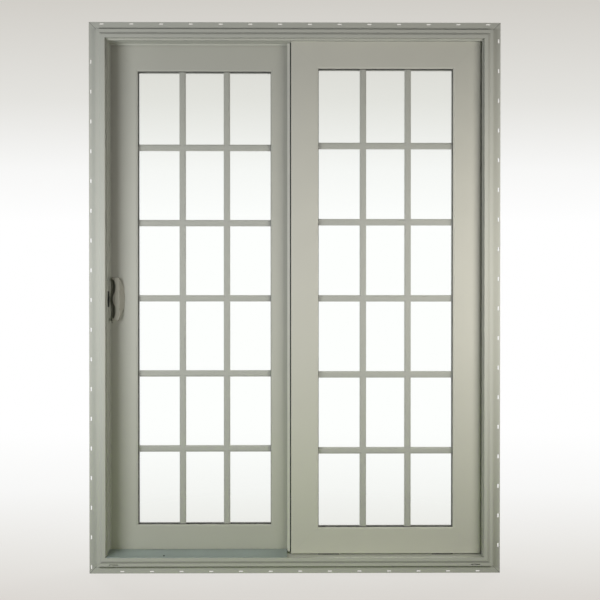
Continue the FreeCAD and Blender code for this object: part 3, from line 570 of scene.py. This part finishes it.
@dataclass
class SubAssembly:
    """Pieces of the door that are built, dressed and reported together."""

    finishes: dict[str, Material]

    def add(self, name: str, mesh: BMesh, slot: str, body: Body, stands_for: tuple[str, ...] = (),
            smooth: float = 35.0) -> Object:
        """Turns a mesh into a finished piece that rides on its body.

        Args:
            name: Name of the piece.
            mesh: Its shape, in the door's own frame.
            slot: Material slot of its finish.
            body: What it moves with.
            stands_for: Nodes that it replaces.
            smooth: Angle in degrees under which neighbouring faces shade as one.

        Returns:
            The piece.
        """
        bmesh.ops.recalc_face_normals(mesh, faces=mesh.faces)
        data = stored(name, mesh)
        data.shade_smooth()
        data.set_sharp_from_angle(angle=math.radians(smooth))
        data.materials.append(self.finishes[slot])
        piece = put(name, data)
        weighted = piece.modifiers.new("even_faces", "WEIGHTED_NORMAL")
        weighted.keep_sharp = True
        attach(piece, body.value)
        if stands_for:
            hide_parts(*stands_for)
        log.info("%s: %d faces on %s", name, len(data.polygons), body.value)
        return piece

    def screws(self, name: str, body: Body, places: list[tuple[Vector, Vector]], radius: float,
               slot: str = "plated_steel") -> Object:
        """Adds a group of screw heads as one piece.

        Args:
            name: Name of the group.
            body: What it moves with.
            places: Seat of each head and the direction that it faces.
            radius: Radius of the heads.
            slot: Material slot of their finish.

        Returns:
            The piece.
        """
        head = PanHead(radius).mesh()
        count = len(head.vertices)
        mesh = bmesh.new()
        for seat, outward in places:
            mesh.from_mesh(head)
            mesh.verts.ensure_lookup_table()
            turned = outward.to_track_quat("Z", "Y").to_matrix().to_4x4()
            bmesh.ops.transform(mesh, matrix=Matrix.Translation(seat) @ turned, verts=mesh.verts[-count:])
        bpy.data.meshes.remove(head)
        return self.add(name, mesh, slot, body, smooth=30.0)

    def screw_pair(self, name: str, body: Body, middle: Vector, outward: Vector, off: float,
                   radius: float) -> Object:
        """Adds two screw heads, one below and one above a point."""
        seats = [(Vector((middle.x, middle.y, middle.z + side * off)), outward) for side in (-1, 1)]
        return self.screws(name, body, seats, radius)

    def eased_copy(self, node: str, slot: str, body: Body, width: float, segments: int = 3) -> Object:
        """Adds a copy of a node with moulded edges, in the node's place.

        Args:
            node: Name of the node.
            slot: Material slot of its finish.
            body: What it moves with.
            width: Size of the rounding in metres.
            segments: Faces across a rounding.

        Returns:
            The piece.
        """
        mesh = copied(node)
        ease(mesh, width, segments)
        return self.add(f"{node}_eased", mesh, slot, body, (node,))


@dataclass
class VinylMembers(SubAssembly):
    """Finishes of all the door's CAD pieces: one vinyl for each group and run, in lighter and darker copies
    of the one clay vinyl that paint light and shade, and the rest by slot.
    """

    fin_reach: float = 31 * MM
    frame_reach: float = 71 * MM
    stile: float = 104.5 * MM
    top_rail: float = 104 * MM
    bottom_rail: float = 100 * MM
    # One clay vinyl in lit and shaded copies: the fixed panel's is painted lighter and the sliding panel's
    # painted darker, as painted light and shade.
    frame_colour: str = "#C8C9BF"
    fixed_colour_painted_light: str = "#CFCEC3"
    sliding_colour_painted_shade: str = "#BFBFB5"
    # The interlock's much lighter vinyl is painted light, lifting the shade in its recess.
    interlock_colour_painted_light: str = "#F3F2E8"
    fin_seam: float = 0.3
    fin_seam_half: float = 1.3 * MM
    panel_seam: float = 0.93

    def panel_mitre(self, panel: str) -> Mitre:
        """Gives the weld lines of one panel.

        Args:
            panel: First word of its nodes' names.

        Returns:
            The rectangle of its members.
        """
        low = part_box(f"{panel}_left_stile")[0]
        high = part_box(f"{panel}_right_stile")[1]
        return Mitre(low.x, high.x, low.z, high.z, self.stile, self.top_rail, self.bottom_rail)

    def vinyls(self) -> dict[tuple[str, Run], Material]:
        """Makes the vinyls.

        Returns:
            The vinyl of each group and run.
        """
        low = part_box("left_jamb")[0]
        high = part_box("right_jamb")[1]
        outer = Mitre(low.x, high.x, low.z, high.z, self.frame_reach, self.frame_reach, self.frame_reach)
        made = {}
        for run in Run:
            # On the frame only the fins show their joint.
            made["frame", run] = ExtrudedVinyl(f"frame_vinyl_{run.value}", run, outer,
                                               seam_reach=self.fin_reach / self.frame_reach,
                                               seam_shade=self.fin_seam, seam_half=self.fin_seam_half,
                                               colour=self.frame_colour).material()
            # Painted light and shade: each panel gets its own lighter or darker copy of the one vinyl.
            for panel, colour in (("fixed", self.fixed_colour_painted_light), ("sliding", self.sliding_colour_painted_shade)):
                made[panel, run] = ExtrudedVinyl(f"{panel}_vinyl_{run.value}", run, self.panel_mitre(panel),
                                                 seam_shade=self.panel_seam, colour=colour).material()
        # Painted light: a much lighter copy of the vinyl lifts the shade on the recessed interlock.
        seamless = ExtrudedVinyl("interlock_vinyl_painted_light", Run.UPRIGHT, self.panel_mitre("fixed"), seam_reach=0.0,
                                 colour=self.interlock_colour_painted_light)
        made["interlock", Run.UPRIGHT] = seamless.material()
        return made

    def dress(self) -> None:
        """Gives every CAD piece its finish."""
        vinyls = self.vinyls()
        for row in frame["record"]["subparts"]:
            node, slot = row["node"], row["material_slot"]
            if slot == "clay_vinyl":
                group = next((panel for panel in ("fixed", "sliding") if node.startswith(panel)), "frame")
                if node == "fixed_interlock":
                    group = "interlock"
                level = any(word in node for word in ("head", "sill", "rail"))
                finish = vinyls[group, Run.LEVEL if level else Run.UPRIGHT]
            else:
                finish = self.finishes[slot]
            piece = frame["nodes"][node]
            piece.data.materials.clear()
            piece.data.materials.append(finish)
            log.info("%s gets %s", node, finish.name)


@dataclass
class GlazedPanel(SubAssembly):
    """Rubber lips that close the glass against the vinyl, outside and inside, on one panel. The outer lip's
    black is partly a real gasket and partly painted shade of the vinyl's wall around the glass.
    """

    panel: str = "fixed"
    body: Body = Body.FRAME
    # Partly painted shade: the outer lip's width also stands for the shaded wall around the glass.
    outer_lip: float = 2.3 * MM
    inner_lip: float = 2.3 * MM
    tucked: float = 0.8 * MM
    thickness: float = 1.0 * MM
    cover: float = 12 * MM
    bead_cover: float = 16 * MM
    # The black strip at the interlock paints the shadow in the gap between interlock and stile.
    shadow_line_width: float = 4.6 * MM
    shadow_line_inset: float = 0.2 * MM

    def ring(self, mesh: BMesh, low: Vector, high: Vector, width: float) -> None:
        """Adds a flat rubber ring.

        Args:
            mesh: Mesh that gets the ring.
            low: Lowest corner of its outer edge.
            high: Highest corner of its outer edge.
            width: Width of the ring, inwards from that edge.
        """
        made = bmesh.ops.create_grid(mesh, x_segments=1, y_segments=1, size=0.5)["verts"]
        turned = Matrix.Rotation(math.pi / 2, 3, "X")
        bmesh.ops.rotate(mesh, matrix=turned, verts=made)
        bmesh.ops.scale(mesh, vec=(high.x - low.x, 1.0, high.z - low.z), verts=made)
        bmesh.ops.translate(mesh, vec=((low.x + high.x) / 2, low.y, (low.z + high.z) / 2), verts=made)
        opening = made[0].link_faces[0]
        rim = bmesh.ops.inset_region(mesh, faces=[opening], thickness=width, use_boundary=True,
                                     use_even_offset=True)["faces"]
        bmesh.ops.delete(mesh, geom=[opening], context="FACES_ONLY")
        bmesh.ops.solidify(mesh, geom=rim, thickness=high.y - low.y)

    def build(self) -> None:
        """Builds the outer and the inner lip as one piece each, and the fixed panel's black strip that paints
        the shadow in the interlock's gap.
        """
        sides = (("outer", "glazing_gasket", self.cover, -self.thickness, self.outer_lip),
                 ("inner", "glazing_beads", self.bead_cover, 0.0, self.inner_lip))
        for side, node, cover, ahead, width in sides:
            low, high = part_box(f"{self.panel}_{node}")
            mesh = bmesh.new()
            edge = cover - self.tucked
            self.ring(mesh, Vector((low.x + edge, low.y + ahead, low.z + edge)),
                      Vector((high.x - edge, low.y + ahead + self.thickness, high.z - edge)), width)
            ease(mesh, self.thickness / 4, 2)
            self.add(f"{self.panel}_{side}_lip", mesh, "black_gasket", self.body)
        if self.panel == "fixed":
            self.interlock_shadow_strip()

    def interlock_shadow_strip(self) -> None:
        """Builds a black rubber strip between the fixed panel's meeting stile and its interlock, a dark sheet
        that paints the shadow in the gap there.
        """
        low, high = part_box("fixed_interlock")
        mesh = bmesh.new()
        # Painted shadow: a black strip stands for the shade in the gap.
        block(mesh, Vector((high.x - self.shadow_line_width, low.y - self.thickness, low.z)),
              Vector((high.x - self.shadow_line_inset, low.y, high.z)))
        ease(mesh, self.thickness / 4, 2)
        self.add("interlock_shadow_strip", mesh, "black_gasket", self.body)


@dataclass
class BrushSeals(SubAssembly):
    """Pile weatherstrips: a stiff backing with ragged rows of fibre on it."""

    strip: float = 7 * MM
    backing: float = 0.9 * MM
    pitch: float = 2.2 * MM
    rows: int = 4
    sway: float = 0.7 * MM
    ragged: float = 0.5 * MM
    margin: float = 0.2 * MM
    clearance: float = 0.3 * MM
    seed: int = 7

    def pile(self, mesh: BMesh, low: Vector, high: Vector, towards: float, chance: random.Random) -> None:
        """Adds one strip that brushes along Y.

        Args:
            mesh: Mesh that gets the strip.
            low: Lowest corner of its space.
            high: Highest corner of its space.
            towards: 1 where the fibres point inside, -1 where they point outside.
            chance: Seeded source of the fibres' lean.
        """
        foot = low.y if towards > 0 else high.y
        tip = high.y if towards > 0 else low.y
        seat = foot + towards * self.backing
        block(mesh, Vector((low.x, min(foot, seat), low.z)), Vector((high.x, max(foot, seat), high.z)))
        upright = high.z - low.z > high.x - low.x
        length = high.z - low.z if upright else high.x - low.x
        tufts = max(2, int(length / self.pitch))
        for row in range(self.rows):
            made = bmesh.ops.create_grid(mesh, x_segments=tufts, y_segments=1, size=0.5)["verts"]
            offset = (row + 0.5) / self.rows
            for vert in made:
                run = vert.co.x + 0.5
                depth = tip if vert.co.y > 0 else seat
                lean = 0.0
                if vert.co.y > 0:
                    lean = chance.uniform(-self.sway, self.sway)
                    depth -= towards * chance.uniform(0.0, self.ragged)
                side = self.strip * offset + lean
                side = min(max(side, self.margin), self.strip - self.margin)
                if upright:
                    vert.co = (low.x + side, depth, low.z + run * length)
                else:
                    vert.co = (low.x + run * length, depth, low.z + side)

    def build(self) -> None:
        """Builds the frame's strips and the one between the meeting stiles."""
        chance = random.Random(self.seed)
        low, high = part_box("frame_seals")
        panel_low, panel_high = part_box("sliding_left_stile")
        mesh = bmesh.new()
        for front, back, towards in ((low.y, panel_low.y - self.clearance, 1),
                                     (panel_high.y + self.clearance, high.y, -1)):
            for start, end in (
                    ((low.x, front, low.z + self.strip), (low.x + self.strip, back, high.z - self.strip)),
                    ((low.x, front, high.z - self.strip), (high.x, back, high.z)),
                    ((low.x, front, low.z), (high.x, back, low.z + self.strip))):
                self.pile(mesh, Vector(start), Vector(end), towards, chance)
        self.add("frame_brushes", mesh, "grey_pile", Body.FRAME, ("frame_seals",))
        low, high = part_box("meeting_seal")
        mesh = bmesh.new()
        self.pile(mesh, low, high, -1, chance)
        self.add("meeting_brush", mesh, "grey_pile", Body.PANEL, ("meeting_seal",))


@dataclass
class Handles(SubAssembly):
    """Outside pull, inside grip with its plate, thumb latch and their screws."""

    pull_edge: float = 2.0 * MM
    lip_edge: float = 0.7 * MM
    grip_edge: float = 4.0 * MM
    plate_edge: float = 1.2 * MM
    mouth_width: float = 21 * MM
    mouth_half: float = 75 * MM
    least_side: float = 60 * MM * MM
    facing: float = 0.9
    flatness: float = 0.1 * MM
    set_screw: float = 1.7 * MM
    set_screw_in: float = 5 * MM
    set_screw_below: float = 8 * MM
    head: float = 3.2 * MM
    lower_screw: float = 18 * MM
    upper_screw: float = 4.6 * MM
    boss: float = 3.5 * MM
    lever_half: float = 2.2 * MM
    lever_root: tuple[float, float, float] = (1.4, 1.0, 0.7)
    lever_edge: float = 1.2 * MM

    def outside(self) -> None:
        """Builds the moulded pull, and the set screw under it at the panel's edge."""
        mesh = copied("exterior_pull")
        low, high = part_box("exterior_pull")

        def outer_front(edge: BMEdge) -> bool:
            """Tells whether an edge bounds the pull's front and isn't on its finger opening.

            Args:
                edge: Edge of the pull.

            Returns:
                Whether it is rounded wide.
            """
            ends = [vert.co for vert in edge.verts]
            flat = all(abs(end.y - low.y) < self.flatness for end in ends)
            rim = any(abs(face.normal.y) < self.facing and face.calc_area() > self.least_side
                      for face in edge.link_faces)
            middle = (low.z + high.z) / 2
            mouth = all(end.x < low.x + self.mouth_width and abs(end.z - middle) < self.mouth_half
                        for end in ends)
            return flat and (rim or not mouth)

        ease(mesh, self.pull_edge, 4, chosen=outer_front)
        ease(mesh, self.lip_edge, 2, least=40.0)
        self.add("outside_pull", mesh, "clay_enamel", Body.PANEL, ("exterior_pull",))
        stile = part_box("sliding_left_stile")[0]
        seat = Vector((stile.x + self.set_screw_in, stile.y, low.z - self.set_screw_below))
        self.screws("pull_set_screw", Body.PANEL, [(seat, OUTSIDE)], self.set_screw, "black_plastic")

    def inside(self) -> None:
        """Builds the moulded grip on its plate, the thumb latch and the plate's screws."""
        low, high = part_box("interior_pull")
        plate_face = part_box("thumb_latch")[0].y
        mesh = copied("interior_pull")
        ease(mesh, self.grip_edge, 4,
             chosen=lambda edge: min(vert.co.y for vert in edge.verts) > plate_face + MM)
        ease(mesh, self.plate_edge, 3, least=40.0)
        self.add("inside_pull", mesh, "clay_enamel", Body.PANEL, ("interior_pull",))
        middle = (low.x + high.x) / 2
        heights = (low.z + self.lower_screw, high.z - self.upper_screw)
        seats = [(Vector((middle, plate_face, height)), INSIDE) for height in heights]
        self.screws("plate_screws", Body.PANEL, seats, self.head)

    def latch(self) -> None:
        """Builds the thumb latch: a round boss with a tapered lever across it."""
        low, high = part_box("thumb_latch")
        middle = (low + high) / 2
        radius = (high.x - low.x) / 2
        mesh = bmesh.new()
        made = bmesh.ops.create_cone(mesh, cap_ends=True, segments=32, radius1=radius, radius2=radius,
                                     depth=self.boss)
        turned = Matrix.Rotation(math.pi / 2, 3, "X")
        bmesh.ops.rotate(mesh, matrix=turned, verts=made["verts"])
        bmesh.ops.translate(mesh, vec=(middle.x, low.y + self.boss / 2, middle.z), verts=made["verts"])
        lever = block(mesh, Vector((middle.x - self.lever_half, low.y + self.boss, low.z)),
                      Vector((middle.x + self.lever_half, high.y, high.z)))
        roots = [vert for vert in lever if vert.co.y < low.y + self.boss + MM]
        bmesh.ops.scale(mesh, vec=self.lever_root, verts=roots, space=Matrix.Translation(-middle))
        ease(mesh, self.lever_edge, 3)
        self.add("thumb_lever", mesh, "clay_enamel", Body.PANEL, ("thumb_latch",))

    def build(self) -> None:
        """Builds both sides' handles."""
        self.outside()
        self.inside()
        self.latch()


@dataclass
class Lock(SubAssembly):
    """Lock face with its hook, keeper, screen strike and their screws."""

    corner: float = 4 * MM
    rim: float = 2 * MM
    slot_width: float = 9 * MM
    slot_height: float = 46 * MM
    slot_depth: float = 1.6 * MM
    slot_end: float = 0.6
    hook: Vector = Vector((0.3, 2.5, 17.0)) * MM
    hook_edge: float = 0.5 * MM
    face_screw: float = 2.6 * MM
    face_screw_sunk: float = 0.6 * MM
    face_screw_off: float = 58 * MM
    keeper_edge: float = 0.5 * MM
    keeper_screw: float = 3.0 * MM
    keeper_screw_off: float = 43 * MM
    strike_slot: float = 24 * MM
    strike_depth: float = 2.4 * MM
    strike_screw: float = 2.4 * MM
    strike_screw_sunk: float = 0.8 * MM
    strike_screw_off: float = 22 * MM

    def slotted_plate(self, low: Vector, high: Vector, outward: float, slot: tuple[float, float],
                      depth: float) -> BMesh:
        """Makes an upright plate across X with rounded corners and a sunk slot.

        Args:
            low: Lowest corner.
            high: Highest corner.
            outward: 1 where its face looks right, -1 where it looks left.
            slot: Width and height of the slot.
            depth: How deep the slot is sunk.

        Returns:
            The plate's mesh.
        """
        width, height = slot
        mesh = bmesh.new()
        block(mesh, low, high)
        ends = [edge for edge in mesh.edges if abs(edge.verts[0].co.x - edge.verts[1].co.x) > MM / 2]
        bmesh.ops.bevel(mesh, geom=ends, offset=self.corner, offset_type="OFFSET", segments=5, profile=0.5,
                        affect="EDGES", clamp_overlap=True, material=-1)
        face = max(mesh.faces, key=lambda each: each.calc_center_median().x * outward)
        middle = (low + high) / 2
        bmesh.ops.inset_region(mesh, faces=[face], thickness=self.rim)
        for vert in face.verts:
            side = 1 if vert.co.y > middle.y else -1
            end = 1 if vert.co.z > middle.z else -1
            flat = abs(vert.co.z - middle.z) < (high.z - low.z) / 2 - self.corner
            reach = height / 2 - (width / 3 if flat else 0.0)
            vert.co.y = middle.y + side * width / 2 * (1.0 if flat else self.slot_end)
            vert.co.z = middle.z + end * reach
        sunk = bmesh.ops.extrude_discrete_faces(mesh, faces=[face])["faces"][0]
        bmesh.ops.translate(mesh, vec=(-outward * depth, 0, 0), verts=sunk.verts)
        return mesh

    def face_with_hook(self) -> None:
        """Builds the lock face, with the rounded hook that waits in its slot."""
        low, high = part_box("lock_face")
        middle = (low + high) / 2
        mesh = self.slotted_plate(low, high, -1.0, (self.slot_width, self.slot_height), self.slot_depth)
        self.add("lock_plate", mesh, "plated_steel", Body.PANEL, ("lock_face",))
        hook = bmesh.new()
        block(hook, Vector((low.x + self.hook.x, middle.y - self.hook.y, middle.z - self.hook.z)),
              Vector((high.x - self.hook.x, middle.y + self.hook.y, middle.z + self.hook.z)))
        ease(hook, self.hook_edge, 2)
        self.add("lock_hook", hook, "plated_steel", Body.PANEL)
        seat = Vector((low.x + self.face_screw_sunk, middle.y, middle.z))
        self.screw_pair("lock_screws", Body.PANEL, seat, LEFT, self.face_screw_off, self.face_screw)

    def keeper(self) -> None:
        """Builds the keeper with eased edges and its two screws."""
        self.eased_copy("lock_keeper", "plated_steel", Body.FRAME, self.keeper_edge, 2)
        low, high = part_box("lock_keeper")
        middle = (low + high) / 2
        seat = Vector((high.x, middle.y, middle.z))
        self.screw_pair("keeper_screws", Body.FRAME, seat, RIGHT, self.keeper_screw_off, self.keeper_screw)

    def screen_strike(self) -> None:
        """Builds the dark strike on the wall of the reveal, with its slot and two screws."""
        low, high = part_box("screen_strike")
        middle = (low + high) / 2
        mesh = self.slotted_plate(low, high, 1.0, (self.slot_width, self.strike_slot), self.strike_depth)
        self.add("strike_plate", mesh, "black_plastic", Body.FRAME, ("screen_strike",))
        seat = Vector((high.x - self.strike_screw_sunk, middle.y, middle.z))
        self.screw_pair("strike_screws", Body.FRAME, seat, RIGHT, self.strike_screw_off, self.strike_screw)

    def build(self) -> None:
        """Builds the lock's pieces on both bodies."""
        self.face_with_hook()
        self.keeper()
        self.screen_strike()


@dataclass
class RunningGear(SubAssembly):
    """Rollers, track and sill cover screws, setting blocks and the bumper."""

    wheel_edge: float = 0.4 * MM
    block_edge: float = 0.6 * MM
    bumper_edge: float = 2.5 * MM
    bumper_screw: float = 4 * MM
    track_screw: float = 2.2 * MM
    track_pitch: float = 280 * MM
    foot: float = 1.5 * MM
    tread_screw: float = 3 * MM
    tread_screw_x: float = -500 * MM
    tread_screw_in: float = 12 * MM
    tread_screw_below: float = 6 * MM

    def build(self) -> None:
        """Builds the eased copies and the screws."""
        self.eased_copy("roller_wheels", "nylon", Body.PANEL, self.wheel_edge, 2)
        self.eased_copy("setting_blocks", "black_plastic", Body.FRAME, self.block_edge, 2)
        self.eased_copy("open_bumper", "black_plastic", Body.FRAME, self.bumper_edge, 4)
        low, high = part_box("roller_track")
        side = (high.y - low.y) / 4
        count = int((high.x - low.x) / self.track_pitch)
        first = (low.x + high.x - (count - 1) * self.track_pitch) / 2
        seats = [(Vector((first + self.track_pitch * step, low.y + side, low.z + self.foot)), UP)
                 for step in range(count)]
        self.screws("track_screws", Body.FRAME, seats, self.track_screw)
        low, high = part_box("open_bumper")
        middle = (low + high) / 2
        seat = Vector((middle.x, middle.y, low.z + MM))
        self.screws("bumper_screw", Body.FRAME, [(seat, DOWN)], self.bumper_screw)
        low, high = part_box("sill_tread")
        seat = Vector((self.tread_screw_x, low.y + self.tread_screw_in, high.z - self.tread_screw_below))
        # Painted shade: the tread screw's head is black so that it shows as the dark recess of the screw.
        self.screws("tread_screw", Body.FRAME, [(seat, OUTSIDE + UP)], self.tread_screw, "black_plastic")


@dataclass(frozen=True)
class Shade:
    """Colour of the background at one slope of view, level being 0 and 45 degrees up being 1."""

    slope: float
    colour: str


@dataclass(frozen=True)
class SoftBox:
    """Rectangular lamp: its middle, the point it faces, its size, power, colour and beam angle."""

    name: str
    where: tuple[float, float, float]
    aim: tuple[float, float, float]
    size: tuple[float, float]
    watts: float
    colour: str = "#FFFFFF"
    beam: float = 180.0

    def light(self) -> None:
        """Adds the lamp so that it leaves no mirror image in the glass."""
        data = bpy.data.lights.new(self.name, "AREA")
        data.spread = math.radians(self.beam)
        data.shape = "RECTANGLE"
        data.size, data.size_y = self.size
        data.energy = self.watts
        data.color = linear(self.colour)[:3]
        lamp = put(self.name, data)
        lamp.location = self.where
        lamp.rotation_euler = (Vector(self.aim) - Vector(self.where)).to_track_quat("-Z", "Y").to_euler()
        lamp.visible_camera = False
        lamp.visible_glossy = False
        lamp.visible_transmission = False


@dataclass
class Studio:
    """Pale floor and surroundings, soft boxes and the photograph's viewpoint."""

    eye: Vector = Vector((-0.0017, -3.1, 1.0628))
    yaw: float = -0.0067
    pitch: float = -0.0059
    focal_pixels: float = 811.5
    frame_pixels: float = 600
    sensor: float = 36.0
    shades: tuple[Shade, ...] = (
        Shade(-0.376, "#DBD7D2"), Shade(-0.326, "#E6E4E0"), Shade(-0.24, "#F8F8F7"), Shade(-0.17, "#FFFFFF"),
        Shade(0.09, "#FFFFFF"), Shade(0.154, "#F8F8F7"), Shade(0.24, "#E4E3DF"), Shade(0.364, "#D1CEC8"),
    )
    ramp_middle: float = 0.5
    # Two boxes in front, two behind for the door's inside, one above and a low fill.
    boxes: tuple[SoftBox, ...] = (
        SoftBox("left_box", (-1.73, -1.66, 1.15), (-0.4, 0.0, 1.1), (1.0, 0.7), 20.6, "#FBFDFF", 142.0),
        SoftBox("left_back_box", (-2.2, 2.2, 1.3), (-0.4, 0.0, 1.1), (0.9, 1.2), 62.0, "#FBFDFF"),
        SoftBox("right_box", (1.45, -1.5, 1.15), (0.4, 0.0, 1.1), (1.0, 0.7), 9.5, "#FFFCF6", 108.0),
        SoftBox("right_back_box", (2.2, 2.2, 1.3), (0.4, 0.0, 1.1), (0.9, 1.2), 62.0, "#FFFCF6"),
        SoftBox("top_box", (0.0, 0.9, 3.4), (0.0, 0.1, 2.1), (1.8, 0.5), 30.0),
        SoftBox("low_fill", (0.0, -1.0, 0.3), (0.0, 0.0, 0.25), (1.6, 0.1), 0.45, "#C8F060", 100.0),
    )
    floor_half: float = 14.0
    floor_below: float = 0.2 * MM
    floor_middle: float = -0.3
    floor_side: float = 1.2
    floor_diffuse: float = 0.08
    shadow_room: float = 1.3
    least_ahead: float = 0.85

    def camera(self) -> None:
        """Adds the camera at the photograph's place."""
        data = bpy.data.cameras.new("camera")
        data.sensor_width = self.sensor
        data.lens = self.focal_pixels / self.frame_pixels * self.sensor
        camera = put("camera", data)
        camera.location = self.eye
        camera.rotation_euler = (math.pi / 2 + self.pitch, 0.0, self.yaw)
        bpy.context.scene.camera = camera

    def ramp(self, graph: Graph, slope: Node) -> NodeSocket:
        """Adds the background's colour for a slope of view.

        Args:
            graph: Nodes that get the colours.
            slope: Rise over distance, seen from the camera's height.

        Returns:
            The output socket with the colour.
        """
        ramp = graph.add("ValToRGB", {0: graph.calc("ADD", slope, self.ramp_middle)})
        stops = ramp.color_ramp.elements
        while len(stops) < len(self.shades):
            stops.new(self.ramp_middle)
        for stop, shade in zip(stops, self.shades):
            stop.position = shade.slope + self.ramp_middle
            stop.color = linear(shade.colour)
        return ramp.outputs["Color"]

    def sight(self, graph: Graph) -> Node:
        """Adds a test of what a ray is.

        Args:
            graph: Nodes that get the test.

        Returns:
            The node that gives 1 for camera, gloss and glass, 0 for light that a dull surface scattered.
        """
        ray = graph.add("LightPath").outputs
        seen = graph.calc("MAXIMUM", ray["Is Camera Ray"], ray["Is Transmission Ray"])
        sharp = graph.calc("MAXIMUM", seen, ray["Is Glossy Ray"])
        return graph.calc("MULTIPLY", sharp, graph.calc("LESS_THAN", ray["Diffuse Depth"], 0.5))

    def world(self) -> None:
        """Shows the pale surroundings to camera, gloss and glass. They light nothing."""
        world = bpy.data.worlds.new("studio")
        world.use_nodes = True
        world.node_tree.nodes.clear()
        graph = Graph(world.node_tree)
        way = graph.add("TexCoord").outputs["Generated"]
        axes = graph.axes(way)
        flat = graph.add("VectorMath", {0: way, 1: (1.0, 1.0, 0.0)}, operation="MULTIPLY")
        part = graph.calc("MULTIPLY", graph.length(flat), self.least_ahead)
        run = graph.calc("MAXIMUM", part, graph.calc("ABSOLUTE", axes["Y"]))
        slope = graph.calc("DIVIDE", axes["Z"], run)
        shown = graph.add("Background", {"Color": self.ramp(graph, slope)})
        dark = graph.add("Background", {"Color": linear("#000000")})
        mixed = graph.add("MixShader", {0: self.sight(graph), 1: dark, 2: shown})
        graph.add("OutputWorld", {"Surface": mixed})
        bpy.context.scene.world = world

    def floor_finish(self) -> Material:
        """Makes the floor's finish: the surroundings' colour, and the door's shadow near it.

        Returns:
            The material.
        """
        material, graph = new_material("matt_floor")
        place = graph.place()
        axes = graph.axes(place)
        behind = graph.calc("ABSOLUTE", graph.calc("SUBTRACT", axes["Y"], self.floor_middle))
        beside = graph.calc("SUBTRACT", graph.calc("ABSOLUTE", axes["X"]), self.floor_side)
        past = graph.calc("MAXIMUM", behind, beside)
        far = graph.calc("ADD", past, self.floor_middle - self.eye.y)
        slope = graph.calc("DIVIDE", -self.eye.z, far)
        near = graph.add("MapRange", {"Value": graph.length(place), "From Min": self.shadow_room / 2,
                                      "From Max": self.shadow_room, "To Min": self.floor_diffuse,
                                      "To Max": 0.0})
        strength = graph.calc("MULTIPLY", graph.calc("SUBTRACT", 1.0, near), self.sight(graph))
        shown = graph.add("Emission", {"Color": self.ramp(graph, slope), "Strength": strength})
        grey = graph.add("CombineColor", {channel: near for channel in range(3)})
        graph.surface(graph.add("AddShader", {0: shown, 1: graph.add("BsdfDiffuse", {"Color": grey})}))
        return material

    def floor(self) -> None:
        """Lays the pale floor, alike on all sides."""
        mesh = bmesh.new()
        bmesh.ops.create_grid(mesh, x_segments=1, y_segments=1, size=self.floor_half)
        bmesh.ops.translate(mesh, vec=(0.0, 0.0, -self.floor_below), verts=mesh.verts)
        data = stored("floor", mesh)
        data.materials.append(self.floor_finish())
        put("floor", data)

    def build(self) -> None:
        """Sets up the whole studio."""
        self.camera()
        for box in self.boxes:
            box.light()
        self.world()
        self.floor()


def main() -> None:
    """Dresses the model, builds the fittings in order and sets up the studio."""
    finishes = {slot: finish.material() for slot, finish in FINISHES.items()}
    VinylMembers(finishes).dress()
    GlazedPanel(finishes, panel="fixed", body=Body.FRAME).build()
    GlazedPanel(finishes, panel="sliding", body=Body.PANEL).build()
    BrushSeals(finishes).build()
    Handles(finishes).build()
    Lock(finishes).build()
    RunningGear(finishes).build()
    Studio().build()
    bpy.context.scene.view_settings.view_transform = "Standard"


if __name__ == "__main__":
    logging.basicConfig(level=logging.INFO)
    main()
